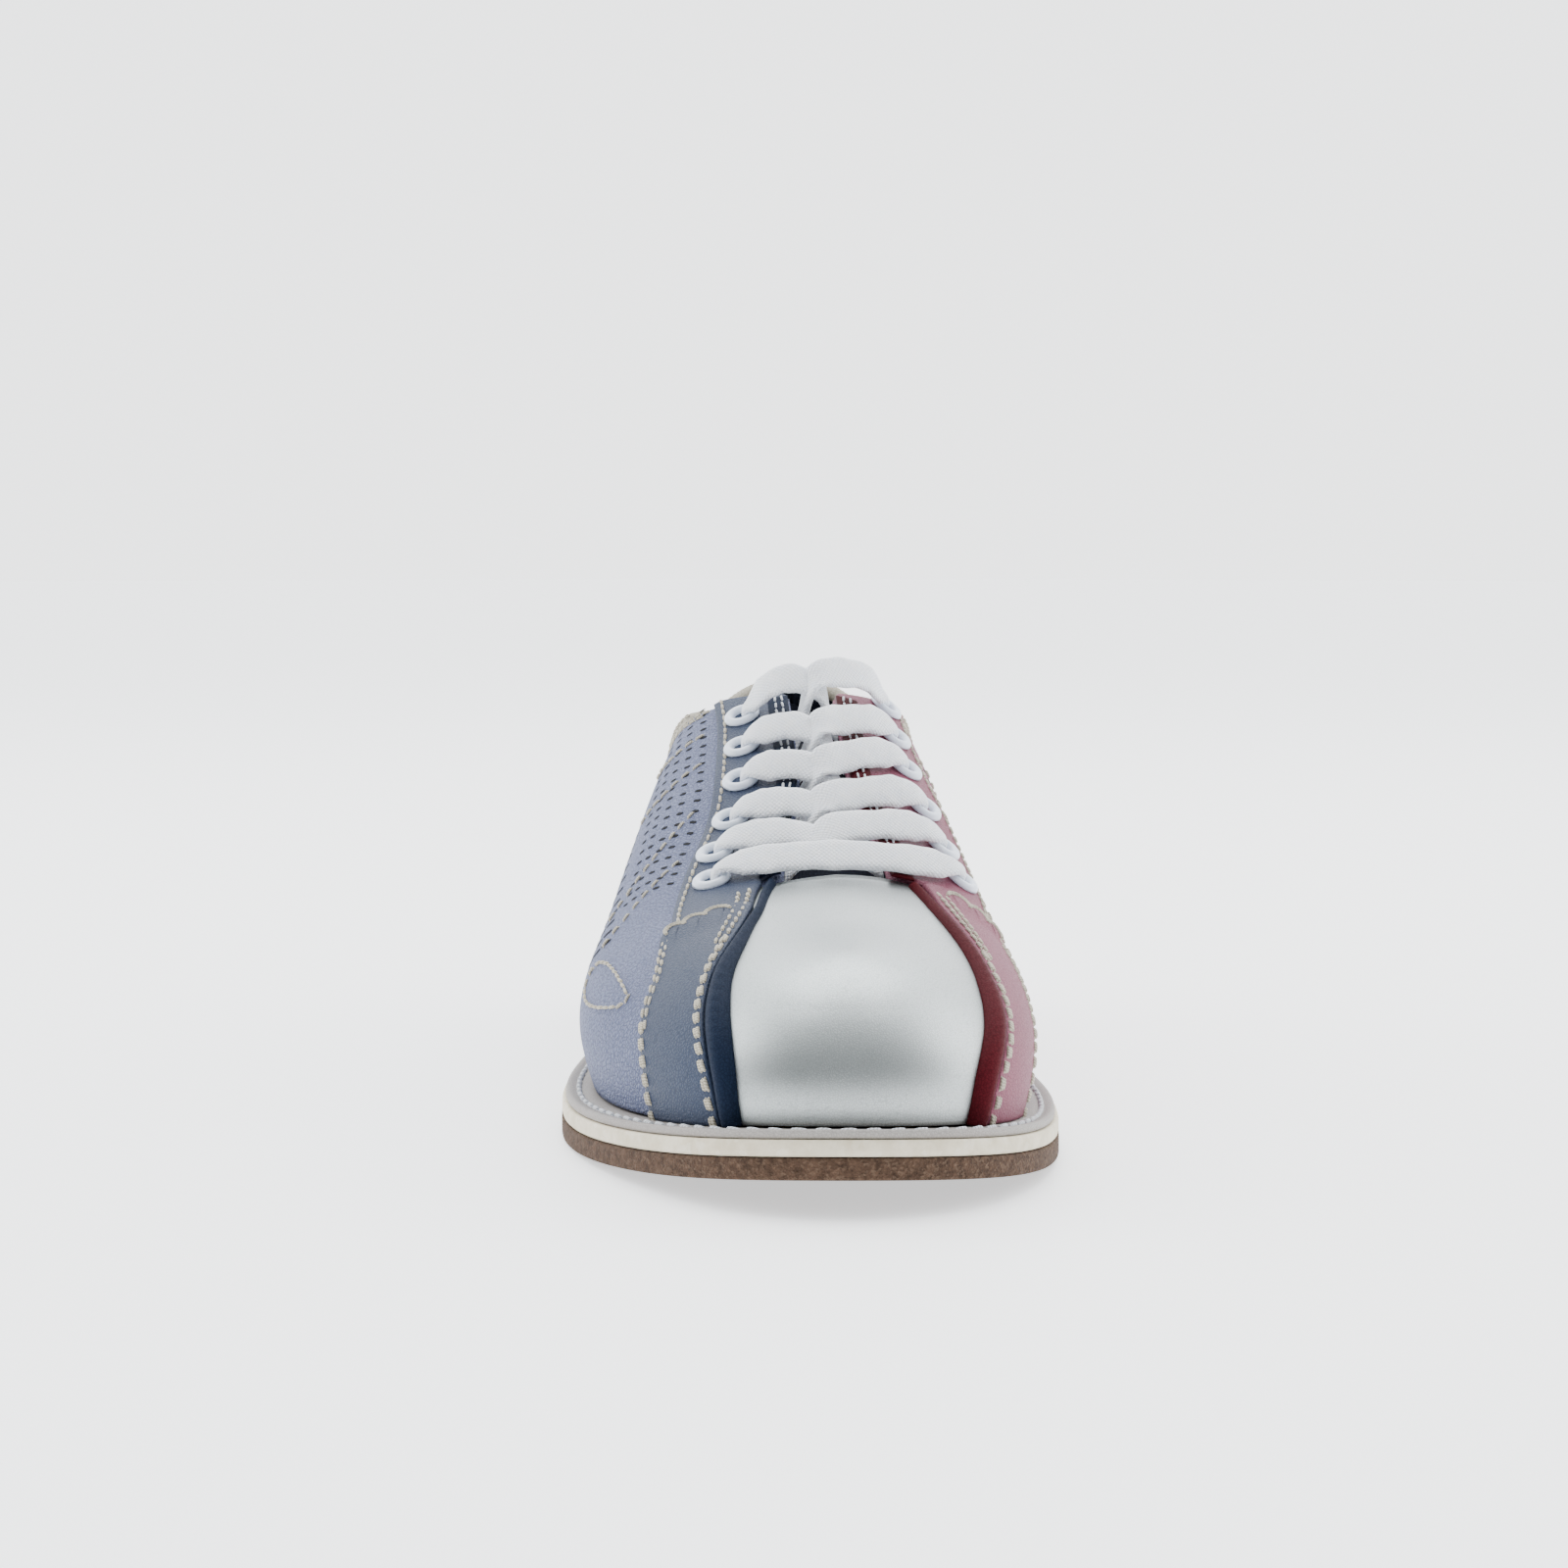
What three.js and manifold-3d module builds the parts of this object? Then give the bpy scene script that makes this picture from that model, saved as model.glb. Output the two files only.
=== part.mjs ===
// A bowling shoe for the right foot, in millimetres.
// +Z is up, the toe points to -Y, and +X is the inner side of the foot.
import * as THREE from 'three';
import Module from 'manifold-3d';

const kernel = await Module();
kernel.setup();

// Overall sizes.
const shoeLength = 304;
const ballWidth = 109;
const crownHeight = 117;
const toeSpring = 8;
const heelLift = 10;

// Layers of the sole, from the floor up.
const glueLine = 0.3;
const outsoleThickness = 4.6;
const midsoleThickness = 3.2;
const weltThickness = 1.9;
const weltInset = 1;
const boardThickness = 1.8;
const footbedThickness = 3.4;
const heelTopPieceThickness = 4;

// Layers of the upper, measured outwards from the face of the vamp and quarters.
const leatherThickness = 1.3;
const overlayGap = 0.5;
const overlayThickness = 1.2;
const rollHeight = 2.6;
const stiffenerDepth = 1.7;
const stiffenerThickness = 0.8;
const liningDepth = 3;
const liningThickness = 0.9;
const seamGap = 0.4;
const liningSetback = 2.6;
const layerGap = 0.2;

// The throat, the tongue and the collar.
const throatBaseGap = 12;
const throatTopGap = 5.6;
const tongueDepth = 8;
const tongueSkin = 0.9;
const tonguePadding = 3.2;
const tongueHalfWidth = 19;
const bindingHeight = 3.4;
const collarPadThickness = 3.4;

// Lacing.
const eyeletPairs = 6;
const eyeletBore = 2.3;
const eyeletWall = 0.45;
const eyeletFlange = 3.7;
const eyeletHoleClearance = 0.35;
const eyeletFlangeHeight = 0.9;
const laceWidth = 5;
const laceThickness = 1.3;
const laceWidthInBore = 2.6;
const laceOverFlange = 1.25;
const aglet = { length: 14, width: 2.6, thickness: 2.2 };
const wallHeight = 85;
const sideDegreesPerWallHeight = 28;

// Angles around the shoe are in degrees: 0 at the toe, positive on the inner side, 180 at the heel.
const degree = Math.PI / 180;
const throatAngle = 69;
const heelBreastAngle = 114;
const outerLeatherBottom = outsoleThickness + midsoleThickness + weltThickness + 3 * glueLine + 0.2;

const { clamp, lerp, smoothstep } = THREE.MathUtils;

// A smooth curve through [place, value] pairs, held level beyond the first and the last.
function profile(pairs) {
  const slope = (i) => {
    const a = pairs[Math.max(i - 1, 0)];
    const b = pairs[Math.min(i + 1, pairs.length - 1)];
    return (b[1] - a[1]) / (b[0] - a[0]);
  };
  return (place) => {
    const x = clamp(place, pairs[0][0], pairs.at(-1)[0]);
    const next = Math.max(1, pairs.findIndex((pair) => pair[0] >= x));
    const [x0, y0] = pairs[next - 1];
    const [x1, y1] = pairs[next];
    const step = x1 - x0;
    const t = (x - x0) / step;
    const rising = t * t * (3 - 2 * t);
    const bends = slope(next - 1) * t * (1 - t) ** 2 - slope(next) * t * t * (1 - t);
    return lerp(y0, y1, rising) + step * bends;
  };
}

// Half widths of the sole divided by the sine of the angle, as shares of the ball width.
const innerHalf = profile([
  [0, 0.734], [30, 0.651], [60, 0.541], [90, 0.417], [120, 0.385], [150, 0.578], [180, 0.67],
]);
const outerHalf = profile([
  [0, 0.734], [30, 0.633], [60, 0.615], [90, 0.5], [120, 0.45], [150, 0.606], [180, 0.67],
]);
const weltLedge = profile([[0, 8.5], [30, 8], [60, 7.5], [90, 5.5], [120, 4.5], [150, 4], [180, 4]]);

// The crown line of the upper, by its share of the shoe's length: sideways place, height and fullness.
const crownSide = profile([
  [0.12, 0.078], [0.2, 0.073], [0.32, 0.064], [0.43, 0.05], [0.55, 0.028], [0.7, 0], [0.86, -0.028],
]);
const crownRise = profile([
  [0.125, 0.423], [0.2, 0.44], [0.26, 0.462], [0.32, 0.487], [0.36, 0.521], [0.43, 0.59],
  [0.49, 0.667], [0.56, 0.744], [0.62, 0.812], [0.69, 0.872], [0.79, 0.949], [0.86, 1],
]);
const fullness = profile([[0.125, 2.4], [0.23, 3.2], [0.33, 4], [0.43, 4], [0.86, 4]]);
const bulge = profile([[0.125, 0.02], [0.32, 0.06], [0.5, 0.03], [0.86, 0.02]]);

// Height of the collar's edge as a share of the crown height, by angle.
const collarRise = profile([
  [96, 0.83], [102, 0.8], [108, 0.755], [118, 0.68], [132, 0.635], [150, 0.66], [166, 0.74], [180, 0.775],
]);

function turned(angle) {
  return THREE.MathUtils.euclideanModulo(angle + 180, 360) - 180;
}

function soleEdge(angle) {
  const a = turned(angle);
  const half = a >= 0 ? innerHalf(a) : outerHalf(-a);
  const x = ballWidth * (0.0197 + 0.046 * Math.cos(a * degree) + half * Math.sin(a * degree));
  return new THREE.Vector2(x, -shoeLength / 2 * Math.cos(a * degree));
}

function outline(angle, inset) {
  const along = soleEdge(angle + 0.05).sub(soleEdge(angle - 0.05)).normalize();
  return soleEdge(angle).addScaledVector(new THREE.Vector2(along.y, -along.x), -inset);
}

// Lift of the sole's underside: the toe springs up and the back stands on the heel.
function soleLift(y) {
  const share = y / shoeLength + 0.5;
  return toeSpring * Math.max(0, 1 - share / 0.28) ** 2 + heelLift * smoothstep(share, 0.5, 0.71);
}

function crownStation(angle) {
  const share = 0.5 - 0.5 * Math.cos(angle * degree);
  const toe = Math.max(0, 1 - share / 0.4276);
  const heel = Math.max(0, 1 - (1 - share) / 0.3618);
  return share + 0.125 * toe ** 2 - 0.1382 * heel ** 2;
}

function section(angle) {
  const foot = outline(angle, weltLedge(Math.abs(turned(angle))));
  const share = crownStation(angle);
  const crownX = ballWidth * crownSide(share);
  const crownY = (share - 0.5) * shoeLength;
  return {
    foot,
    share,
    footZ: soleLift(foot.y) + outerLeatherBottom,
    crown: new THREE.Vector3(crownX, crownY, crownHeight * crownRise(share)),
    power: fullness(share),
  };
}

// A point on the face of the upper: rise 0 is the feather line at the sole, rise 1 the crown line.
function face(angle, rise) {
  const { foot, share, footZ, crown, power } = section(angle);
  const turn = Math.PI / 2 * clamp(rise, 0, 1) ** (power / 2);
  const up = Math.sin(turn) ** (2 / power);
  const out = Math.cos(turn) * (1 + bulge(share) * Math.sin(Math.PI * Math.min(up / 0.7, 1)));
  return new THREE.Vector3(
    lerp(crown.x, foot.x, out),
    lerp(crown.y, foot.y, out),
    lerp(footZ, crown.z, up),
  );
}

function faceNormal(angle, rise) {
  const share = crownStation(angle);
  if (rise > 0.999) {
    const climb = crownHeight * (crownRise(share + 0.002) - crownRise(share - 0.002));
    return new THREE.Vector3(0, -climb, 0.004 * shoeLength).normalize();
  }
  const low = Math.max(rise - 0.002, 0);
  const across = face(angle + 0.1, rise).sub(face(angle - 0.1, rise));
  const upward = face(angle, Math.min(low + 0.004, 1)).sub(face(angle, low));
  return across.cross(upward).normalize();
}

// A point a given distance outside the face, or inside it where depth is below 0.
function skin(angle, rise, depth) {
  return face(angle, rise).addScaledVector(faceNormal(angle, rise), depth);
}

function riseAtHeight(angle, height) {
  const { footZ, crown, power } = section(angle);
  const up = clamp((height - footZ) / (crown.z - footZ), 0, 1);
  return (2 / Math.PI * Math.asin(up ** (power / 2))) ** (2 / power);
}

function riseAtGap(angle, gap) {
  const { foot, crown, power } = section(angle);
  const out = clamp(gap / Math.hypot(foot.x - crown.x, foot.y - crown.y), 0, 1);
  return (2 / Math.PI * Math.acos(out)) ** (2 / power);
}

function throatGap(angle) {
  return lerp(throatBaseGap, throatTopGap, smoothstep(crownStation(angle), 0.32, 0.5));
}

// The free edge of the upper: the throat, then the collar.
function topRise(angle) {
  const a = Math.abs(turned(angle));
  const collar = riseAtHeight(angle, crownHeight * collarRise(a));
  return Math.min(collar, riseAtGap(angle, throatGap(angle)));
}

// Closes a grid: welds its corners and leaves out faces that have shrunk to a line.
function welded(geometry, open = []) {
  const kept = [];
  const { index } = geometry;
  const whole = [{ start: 0, count: index.count, materialIndex: -1 }];
  const groups = geometry.groups.length ? geometry.groups : whole;
  for (const group of groups) {
    if (open.includes(group.materialIndex)) continue;
    for (let i = group.start; i < group.start + group.count; i++) kept.push(index.getX(i));
  }
  const places = geometry.attributes.position;
  const points = [];
  const numbers = new Map();
  const numberOf = (i) => {
    const point = new THREE.Vector3().fromBufferAttribute(places, i);
    const key = point.toArray().map((value) => Math.round(value * 2000)).join();
    if (!numbers.has(key)) {
      numbers.set(key, points.length / 3);
      points.push(point.x, point.y, point.z);
    }
    return numbers.get(key);
  };
  const faces = [];
  for (let i = 0; i < kept.length; i += 3) {
    const corners = [0, 1, 2].map((k) => numberOf(kept[i + k]));
    if (new Set(corners).size === 3) faces.push(...corners);
  }
  const closed = new THREE.BufferGeometry();
  closed.setAttribute('position', new THREE.Float32BufferAttribute(points, 3));
  closed.setIndex(faces);
  closed.computeVertexNormals();
  return closed;
}

// Faces of a box grid that meet each other and so are left out.
const ends = { right: 0, left: 1, top: 2 };

// A box grid bent by place(across, along, layer), each from 0 to 1.
function bent(columns, rows, place, open) {
  const geometry = new THREE.BoxGeometry(1, 1, 1, columns, rows, 1);
  const { position } = geometry.attributes;
  for (let i = 0; i < position.count; i++) {
    const point = place(position.getX(i) + 0.5, position.getY(i) + 0.5, position.getZ(i) + 0.5);
    position.setXYZ(i, point.x, point.y, point.z);
  }
  return welded(geometry, open);
}

// A sheet that follows the upper: where(across, along) gives its [angle, rise].
function panel(columns, rows, where, inner, outer, open) {
  return bent(columns, rows, (across, along, layer) => {
    const [angle, rise] = where(across, along);
    const outside = typeof outer === 'function' ? outer(across, along) : outer;
    return skin(angle, rise, layer > 0.5 ? outside : inner);
  }, open);
}

function toManifold(geometry) {
  const mesh = new kernel.Mesh({
    numProp: 3,
    vertProperties: new Float32Array(geometry.attributes.position.array),
    triVerts: new Uint32Array(geometry.index.array),
  });
  mesh.merge();
  return new kernel.Manifold(mesh);
}

function fromManifold(solid) {
  const mesh = solid.getMesh();
  const geometry = new THREE.BufferGeometry();
  geometry.setAttribute('position', new THREE.BufferAttribute(mesh.vertProperties, 3));
  geometry.setIndex(new THREE.BufferAttribute(mesh.triVerts, 1));
  return welded(geometry);
}

const shoe = new THREE.Group();
shoe.name = 'bowling_shoe';

function finish(color, roughness, metalness = 0) {
  return new THREE.MeshStandardMaterial({ color, roughness, metalness });
}

const colours = {
  silver: () => finish('#c3c9c9', 0.35, 0.55),
  navy: () => finish('#2d3c53', 0.55),
  wine: () => finish('#782d37', 0.55),
  slate: () => finish('#6f7c97', 0.6),
  rose: () => finish('#b98096', 0.6),
  lavender: () => finish('#9298b4', 0.65),
  pink: () => finish('#c694a4', 0.65),
  darkCloth: () => finish('#1e2332', 0.9),
  beige: () => finish('#c8c3b4', 0.7),
  cream: () => finish('#ebe6d7', 0.55),
  weltGrey: () => finish('#d7d2d0', 0.6),
  tan: () => finish('#7d6450', 0.85),
  blackRubber: () => finish('#26241f', 0.8),
  board: () => finish('#b59a6b', 0.9),
  cork: () => finish('#a8794c', 0.95),
  steel: () => finish('#9aa0a6', 0.35, 1),
  stiffener: () => finish('#d9cdb0', 0.8),
  white: () => finish('#e6ebf5', 0.4),
  laceWhite: () => finish('#e1e6eb', 0.85),
  clearPlastic: () => finish('#e8e8e8', 0.2),
};

function add(name, geometry, material) {
  const mesh = new THREE.Mesh(geometry, material);
  mesh.name = name;
  shoe.add(mesh);
}

// A slab of the sole. Its bottom and top follow the lift of the sole unless they are said to be level.
function soleSlab(inset, bottom, top, options = {}) {
  const { from = 0, to = 180, levelBottom = false, levelTop = false, width = 1 } = options;
  const columns = Math.round((to - from) / 6);
  return bent(2, columns, (across, along, layer) => {
    const angle = lerp(from, to, along);
    const outer = outline(-angle, inset(angle));
    const inner = outline(angle, inset(angle));
    const share = 0.5 + (across - 0.5) * width;
    const point = outer.lerp(inner, share);
    const isTop = layer > 0.5;
    const lift = (isTop ? levelTop : levelBottom) ? 0 : soleLift(point.y);
    return new THREE.Vector3(point.x, point.y, lift + (isTop ? top : bottom));
  });
}

function addSole() {
  const flush = () => 0;
  const midsoleBottom = outsoleThickness + glueLine;
  const weltBottom = midsoleBottom + midsoleThickness + glueLine;
  const weltTop = weltBottom + weltThickness;
  add('outsole', soleSlab(flush, 0, outsoleThickness), colours.tan());
  add('midsole', soleSlab(() => 0.6, midsoleBottom, midsoleBottom + midsoleThickness), colours.cream());

  const ringInner = (angle) => weltLedge(Math.abs(turned(angle))) + 6;
  const ring = bent(60, 1, (across, along, layer) => {
    const angle = lerp(-180, 180, across);
    const point = outline(angle, along > 0.5 ? ringInner(angle) : weltInset);
    return new THREE.Vector3(point.x, point.y, soleLift(point.y) + (layer > 0.5 ? weltTop : weltBottom));
  }, [ends.left, ends.right]);
  add('welt', ring, colours.weltGrey());

  const inRing = (angle) => ringInner(angle) + glueLine + 0.3;
  const foreFiller = soleSlab(inRing, weltBottom, weltTop, { from: 6, to: 78 });
  add('forepart_filler', foreFiller, colours.cork());
  const shank = soleSlab(inRing, weltBottom, weltTop, { from: 84, to: 132, width: 0.3 });
  add('shank', shank, colours.steel());
  const heelFiller = soleSlab(inRing, weltBottom, weltTop, { from: 138, to: 174 });
  add('heel_seat_filler', heelFiller, colours.cork());

  const inUpper = (angle) => weltLedge(Math.abs(angle)) + liningDepth + liningThickness + 1;
  const boardBottom = weltTop + glueLine;
  const boardTop = boardBottom + boardThickness;
  add('insole_board', soleSlab(inUpper, boardBottom, boardTop), colours.board());
  const footbedBottom = boardTop + glueLine;
  add('footbed', soleSlab(inUpper, footbedBottom, footbedBottom + footbedThickness), colours.darkCloth());

  const underHeel = { from: heelBreastAngle, levelBottom: true };
  const topPiece = soleSlab(flush, 0, heelTopPieceThickness, { ...underHeel, levelTop: true });
  add('heel_top_piece', topPiece, colours.blackRubber());
  const block = soleSlab(() => 0.4, heelTopPieceThickness + glueLine, -glueLine, underHeel);
  add('heel_block', block, colours.tan());
}

// The seam between the vamp and the quarter, as an angle at each rise.
const seamAngle = {
  '-1': profile([[0, 40], [0.2, 41], [0.4, 45], [0.6, 53], [0.75, 61], [0.9, 67], [1, 69]]),
  1: profile([[0, 45], [0.2, 49], [0.4, 56], [0.6, 65], [0.75, 68], [0.9, 69], [1, 69]]),
};

// Edges that run along the toe panel, from the sole to the throat: angle and rise by the share covered.
const panelEdges = {
  '-1': {
    toe: { angle: profile([[0, 21], [0.2, 23], [0.4, 29], [0.6, 41], [0.8, 54], [1, 67]]),
      rise: profile([[0, 0], [0.2, 0.25], [0.4, 0.47], [0.6, 0.72], [0.8, 0.85], [1, 0.915]]) },
    roll: { angle: profile([[0, 25.5], [0.2, 28], [0.4, 34], [0.6, 45], [0.8, 56], [1, 66.5]]),
      rise: profile([[0, 0], [0.2, 0.2], [0.4, 0.42], [0.6, 0.68], [0.8, 0.81], [1, 0.87]]) },
    seam: { angle: profile([[0, 41.5], [0.3, 42.5], [0.6, 46.5], [0.8, 50], [1, 58]]),
      rise: profile([[0, 0], [0.3, 0.2], [0.6, 0.4], [0.8, 0.52], [1, 0.66]]) },
  },
  1: {
    toe: { angle: profile([[0, 26], [0.2, 29], [0.4, 36], [0.6, 46], [0.8, 58], [1, 68]]),
      rise: profile([[0, 0], [0.2, 0.22], [0.4, 0.41], [0.6, 0.6], [0.8, 0.77], [1, 0.86]]) },
    roll: { angle: profile([[0, 31], [0.2, 34.5], [0.4, 42], [0.6, 51], [0.8, 61], [1, 68]]),
      rise: profile([[0, 0], [0.2, 0.19], [0.4, 0.37], [0.6, 0.54], [0.8, 0.7], [1, 0.79]]) },
    seam: { angle: profile([[0, 46.5], [0.3, 50.5], [0.6, 57], [0.8, 61.5], [1, 66.5]]),
      rise: profile([[0, 0], [0.3, 0.2], [0.6, 0.38], [0.8, 0.48], [1, 0.58]]) },
  },
};

function between(first, second, side, share, across) {
  const angle = lerp(first.angle(share), second.angle(share), across);
  return [side * angle, lerp(first.rise(share), second.rise(share), across)];
}

// The facing lies between the throat and a line of stitches farther out.
const facingEdge = {
  '-1': profile([[60, 0.69], [68, 0.74], [76, 0.775], [86, 0.81], [98, 0.815], [108, 0.79]]),
  1: profile([[60, 0.6], [70, 0.615], [83, 0.63], [93, 0.7], [104, 0.73], [111, 0.7]]),
};
const facingFront = { '-1': 59.5, 1: 68.5 };
const straightAngle = 72;
const cornerAngle = 108;
const wingTopShare = { '-1': 0.86, 1: 1 };

const eyeletPlaces = {
  '-1': { first: 69.6, pitch: 6, rise: profile([[69, 0.815], [76, 0.825], [86, 0.865], [100, 0.87]]) },
  1: { first: 74, pitch: 6, rise: profile([[74, 0.715], [86, 0.77], [92, 0.8], [104, 0.805]]) },
};

function eyeletPlace(side, number) {
  const { first, pitch, rise } = eyeletPlaces[side];
  const angle = first + pitch * number;
  return [side * angle, rise(angle)];
}

function uprightTo(normal) {
  return new THREE.Quaternion().setFromUnitVectors(THREE.Object3D.DEFAULT_UP, normal);
}

function eyeletHoles(side) {
  const holes = [];
  for (let number = 0; number < eyeletPairs; number++) {
    const [angle, rise] = eyeletPlace(side, number);
    const radius = eyeletBore + eyeletWall + eyeletHoleClearance;
    const hole = new THREE.CylinderGeometry(radius, radius, 20, 8);
    hole.applyQuaternion(uprightTo(faceNormal(angle, rise)));
    const centre = face(angle, rise);
    hole.translate(centre.x, centre.y, centre.z);
    holes.push(toManifold(welded(hole)));
  }
  return kernel.Manifold.union(holes);
}

function punched(geometry, holes) {
  return fromManifold(toManifold(geometry).subtract(holes));
}

// Columns set by hand between angles, so that layers lying on each other bend at the same places.
function stationed(counts, angles, across) {
  let place = across * counts.reduce((sum, count) => sum + count, 0);
  let part = 0;
  while (part < counts.length - 1 && place > counts[part]) {
    place -= counts[part];
    part++;
  }
  return lerp(angles[part], angles[part + 1], place / counts[part]);
}

// Keeps a side's span increasing from left to right, so that its faces point outwards.
function sided(side, where) {
  return (across, along) => where(side > 0 ? across : 1 - across, along);
}

function addVamp() {
  const cap = (reach) => (across, along) => {
    const turn = 2 * across - 1;
    return [turn * reach(turn < 0 ? -1 : 1, along), along];
  };
  const toSeam = (side, rise) => seamAngle[side](rise) - seamGap;
  add('vamp', panel(24, 8, cap(toSeam), -leatherThickness, 0, [ends.top]), colours.silver());
  const toThroat = () => throatAngle - 0.6;
  const lining = panel(24, 8, cap(toThroat), -liningDepth - liningThickness, -liningDepth, [ends.top]);
  const holes = kernel.Manifold.union([-1, 1].map((side) => eyeletHoles(side)));
  add('vamp_lining', punched(lining, holes), colours.beige());
  const puff = (across, along) => [lerp(-36, 36, across), lerp(0.03, 0.8, along)];
  const puffInner = -stiffenerDepth - stiffenerThickness;
  add('toe_puff', panel(12, 5, puff, puffInner, -stiffenerDepth), colours.stiffener());
}

function addSide(side, label, shades) {
  const edges = panelEdges[side];
  const overlayTop = overlayGap + overlayThickness;
  const holes = eyeletHoles(side);

  const roll = sided(side, (across, along) => {
    const share = lerp(0.015, 1, along);
    return between(edges.toe, edges.roll, side, share, across);
  });
  const rounded = (across) => overlayGap + 0.6 + (rollHeight - 0.6) * Math.sin(Math.PI * across);
  add(`edge_roll_${label}`, panel(4, 11, roll, overlayGap, rounded), shades.roll());

  const wing = sided(side, (across, along) => {
    const start = between(edges.roll, edges.seam, side, along * wingTopShare[side], 0);
    const end = between(edges.seam, edges.seam, side, along, 0);
    const share = lerp(0.04, 1, across);
    return [lerp(start[0], end[0], share), lerp(start[1], end[1], share)];
  });
  add(`wing_${label}`, panel(4, 8, wing, overlayGap, overlayTop), shades.wing());

  const facingColumns = [3, 9];
  const facingTop = (angle) => {
    const front = smoothstep(angle, throatAngle - 2.5, throatAngle + 3);
    const besideRoll = edges.roll.rise(clamp((angle - 25) / 41.5, 0, 1)) - 0.012;
    return lerp(besideRoll, topRise(side * angle) - 0.004, front);
  };
  const facing = sided(side, (across, along) => {
    const angle = stationed(facingColumns, [facingFront[side], straightAngle, cornerAngle], across);
    return [side * angle, lerp(facingEdge[side](angle), facingTop(angle), along)];
  });
  add(`facing_${label}`, punched(panel(12, 3, facing, overlayGap, overlayTop), holes), shades.facing());

  const backSeam = 180 - seamGap / 2;
  const quarter = sided(side, (across, along) => {
    let rise = along;
    let angle = 180;
    for (let pass = 0; pass < 4; pass++) {
      const front = seamAngle[side](rise) + seamGap;
      angle = stationed([4, 9, 9], [front, straightAngle, cornerAngle, backSeam], across);
      rise = along * topRise(side * angle);
    }
    return [side * angle, rise];
  });
  add(`quarter_${label}`, punched(panel(22, 7, quarter, -leatherThickness, 0), holes), shades.quarter());

  const lining = sided(side, (across, along) => {
    const angle = stationed([1, 9, 9], [throatAngle + 0.3, straightAngle, cornerAngle, backSeam], across);
    const throat = riseAtGap(side * angle, throatGap(angle) + liningSetback);
    return [side * angle, along * Math.min(throat, topRise(side * angle) - 0.003)];
  });
  const liningSheet = panel(19, 6, lining, -liningDepth - liningThickness, -liningDepth);
  add(`quarter_lining_${label}`, punched(liningSheet, holes), colours.darkCloth());

  for (let number = 0; number < eyeletPairs; number++) addEyelet(side, label, number);
}

function addEyelet(side, label, number) {
  const barrel = eyeletBore + eyeletWall;
  const base = overlayGap + overlayThickness + glueLine;
  const flangeTop = base + eyeletFlangeHeight;
  const foot = -liningDepth - liningThickness - layerGap;
  const rim = [
    [eyeletBore, foot], [barrel, foot], [barrel, base], [eyeletFlange, base],
    [(barrel + eyeletFlange) / 2, flangeTop], [eyeletBore, flangeTop - 0.2], [eyeletBore, foot],
  ];
  const geometry = new THREE.LatheGeometry(rim.map(([x, y]) => new THREE.Vector2(x, y)), 9);
  const [angle, rise] = eyeletPlace(side, number);
  const centre = face(angle, rise);
  geometry.applyQuaternion(uprightTo(faceNormal(angle, rise)));
  geometry.translate(centre.x, centre.y, centre.z);
  add(`eyelet_${label}_${number + 1}`, welded(geometry), colours.white());
}

function addHeel() {
  const counter = (across, along) => [lerp(140, 220, across), lerp(0.04, 0.62, along) * topRise(180)];
  const counterInner = -stiffenerDepth - stiffenerThickness;
  add('heel_counter', panel(12, 3, counter, counterInner, -stiffenerDepth), colours.stiffener());
  const strip = (across, along) => {
    const angle = 180 + lerp(-12, 12, across) * (1 - 0.35 * along);
    return [angle, along * 0.97 * topRise(angle)];
  };
  add('heel_strip', panel(4, 7, strip, overlayGap, overlayGap + overlayThickness), colours.slate());
  const bound = (across, along) => {
    const angle = lerp(cornerAngle + 1, 359 - cornerAngle, across);
    const low = topRise(angle) + 0.01;
    return [angle, low + along * bindingHeight / (crownHeight * 0.78)];
  };
  const bindingInner = -liningDepth - liningThickness - 0.3;
  add('collar_binding', panel(24, 1, bound, bindingInner, 0.8), colours.beige());
  const pad = (across, along) => {
    const angle = lerp(118, 242, across);
    const top = topRise(angle);
    return [angle, lerp(0.62, 0.96, along) * top];
  };
  const padOuter = -liningDepth - liningThickness - glueLine - layerGap;
  const padDepth = (across, along) => padOuter - 0.8 - collarPadThickness * Math.sin(Math.PI * along);
  const padded = bent(18, 4, (across, along, layer) => {
    const [angle, rise] = pad(across, along);
    return skin(angle, rise, layer > 0.5 ? padOuter : padDepth(across, along));
  });
  add('collar_pad', padded, colours.darkCloth());
}

// The tongue lies under the lacing, sewn in at the throat, and is free at its back end.
function addTongue() {
  const layer = (name, outerDepth, thickness, trim, material) => {
    const where = (across, along) => {
      const angle = lerp(throatAngle + 0.5 + trim * 0.4, 107 - trim * 0.4, along);
      const side = across < 0.5 ? -1 : 1;
      const edge = riseAtGap(side * angle, tongueHalfWidth * lerp(0.82, 1, along) - trim);
      return [side * angle, lerp(1, edge, Math.abs(2 * across - 1))];
    };
    add(name, panel(6, 8, where, -outerDepth - thickness, -outerDepth), material);
  };
  layer('tongue_outer', tongueDepth, tongueSkin, 0, colours.darkCloth());
  layer('tongue_padding', tongueDepth + tongueSkin + glueLine, tonguePadding, 1.5, colours.beige());
  const liningFrom = tongueDepth + tongueSkin + tonguePadding + 2 * glueLine;
  layer('tongue_lining', liningFrom, tongueSkin, 0, colours.darkCloth());
}

// A depth between the lining and the tongue, by the share of the space between them.
const laceShare = 0.378;
const tailShare = 0.451;

function underLining(share) {
  const lining = liningDepth + liningThickness;
  return -lerp(lining, tongueDepth, share);
}

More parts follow.
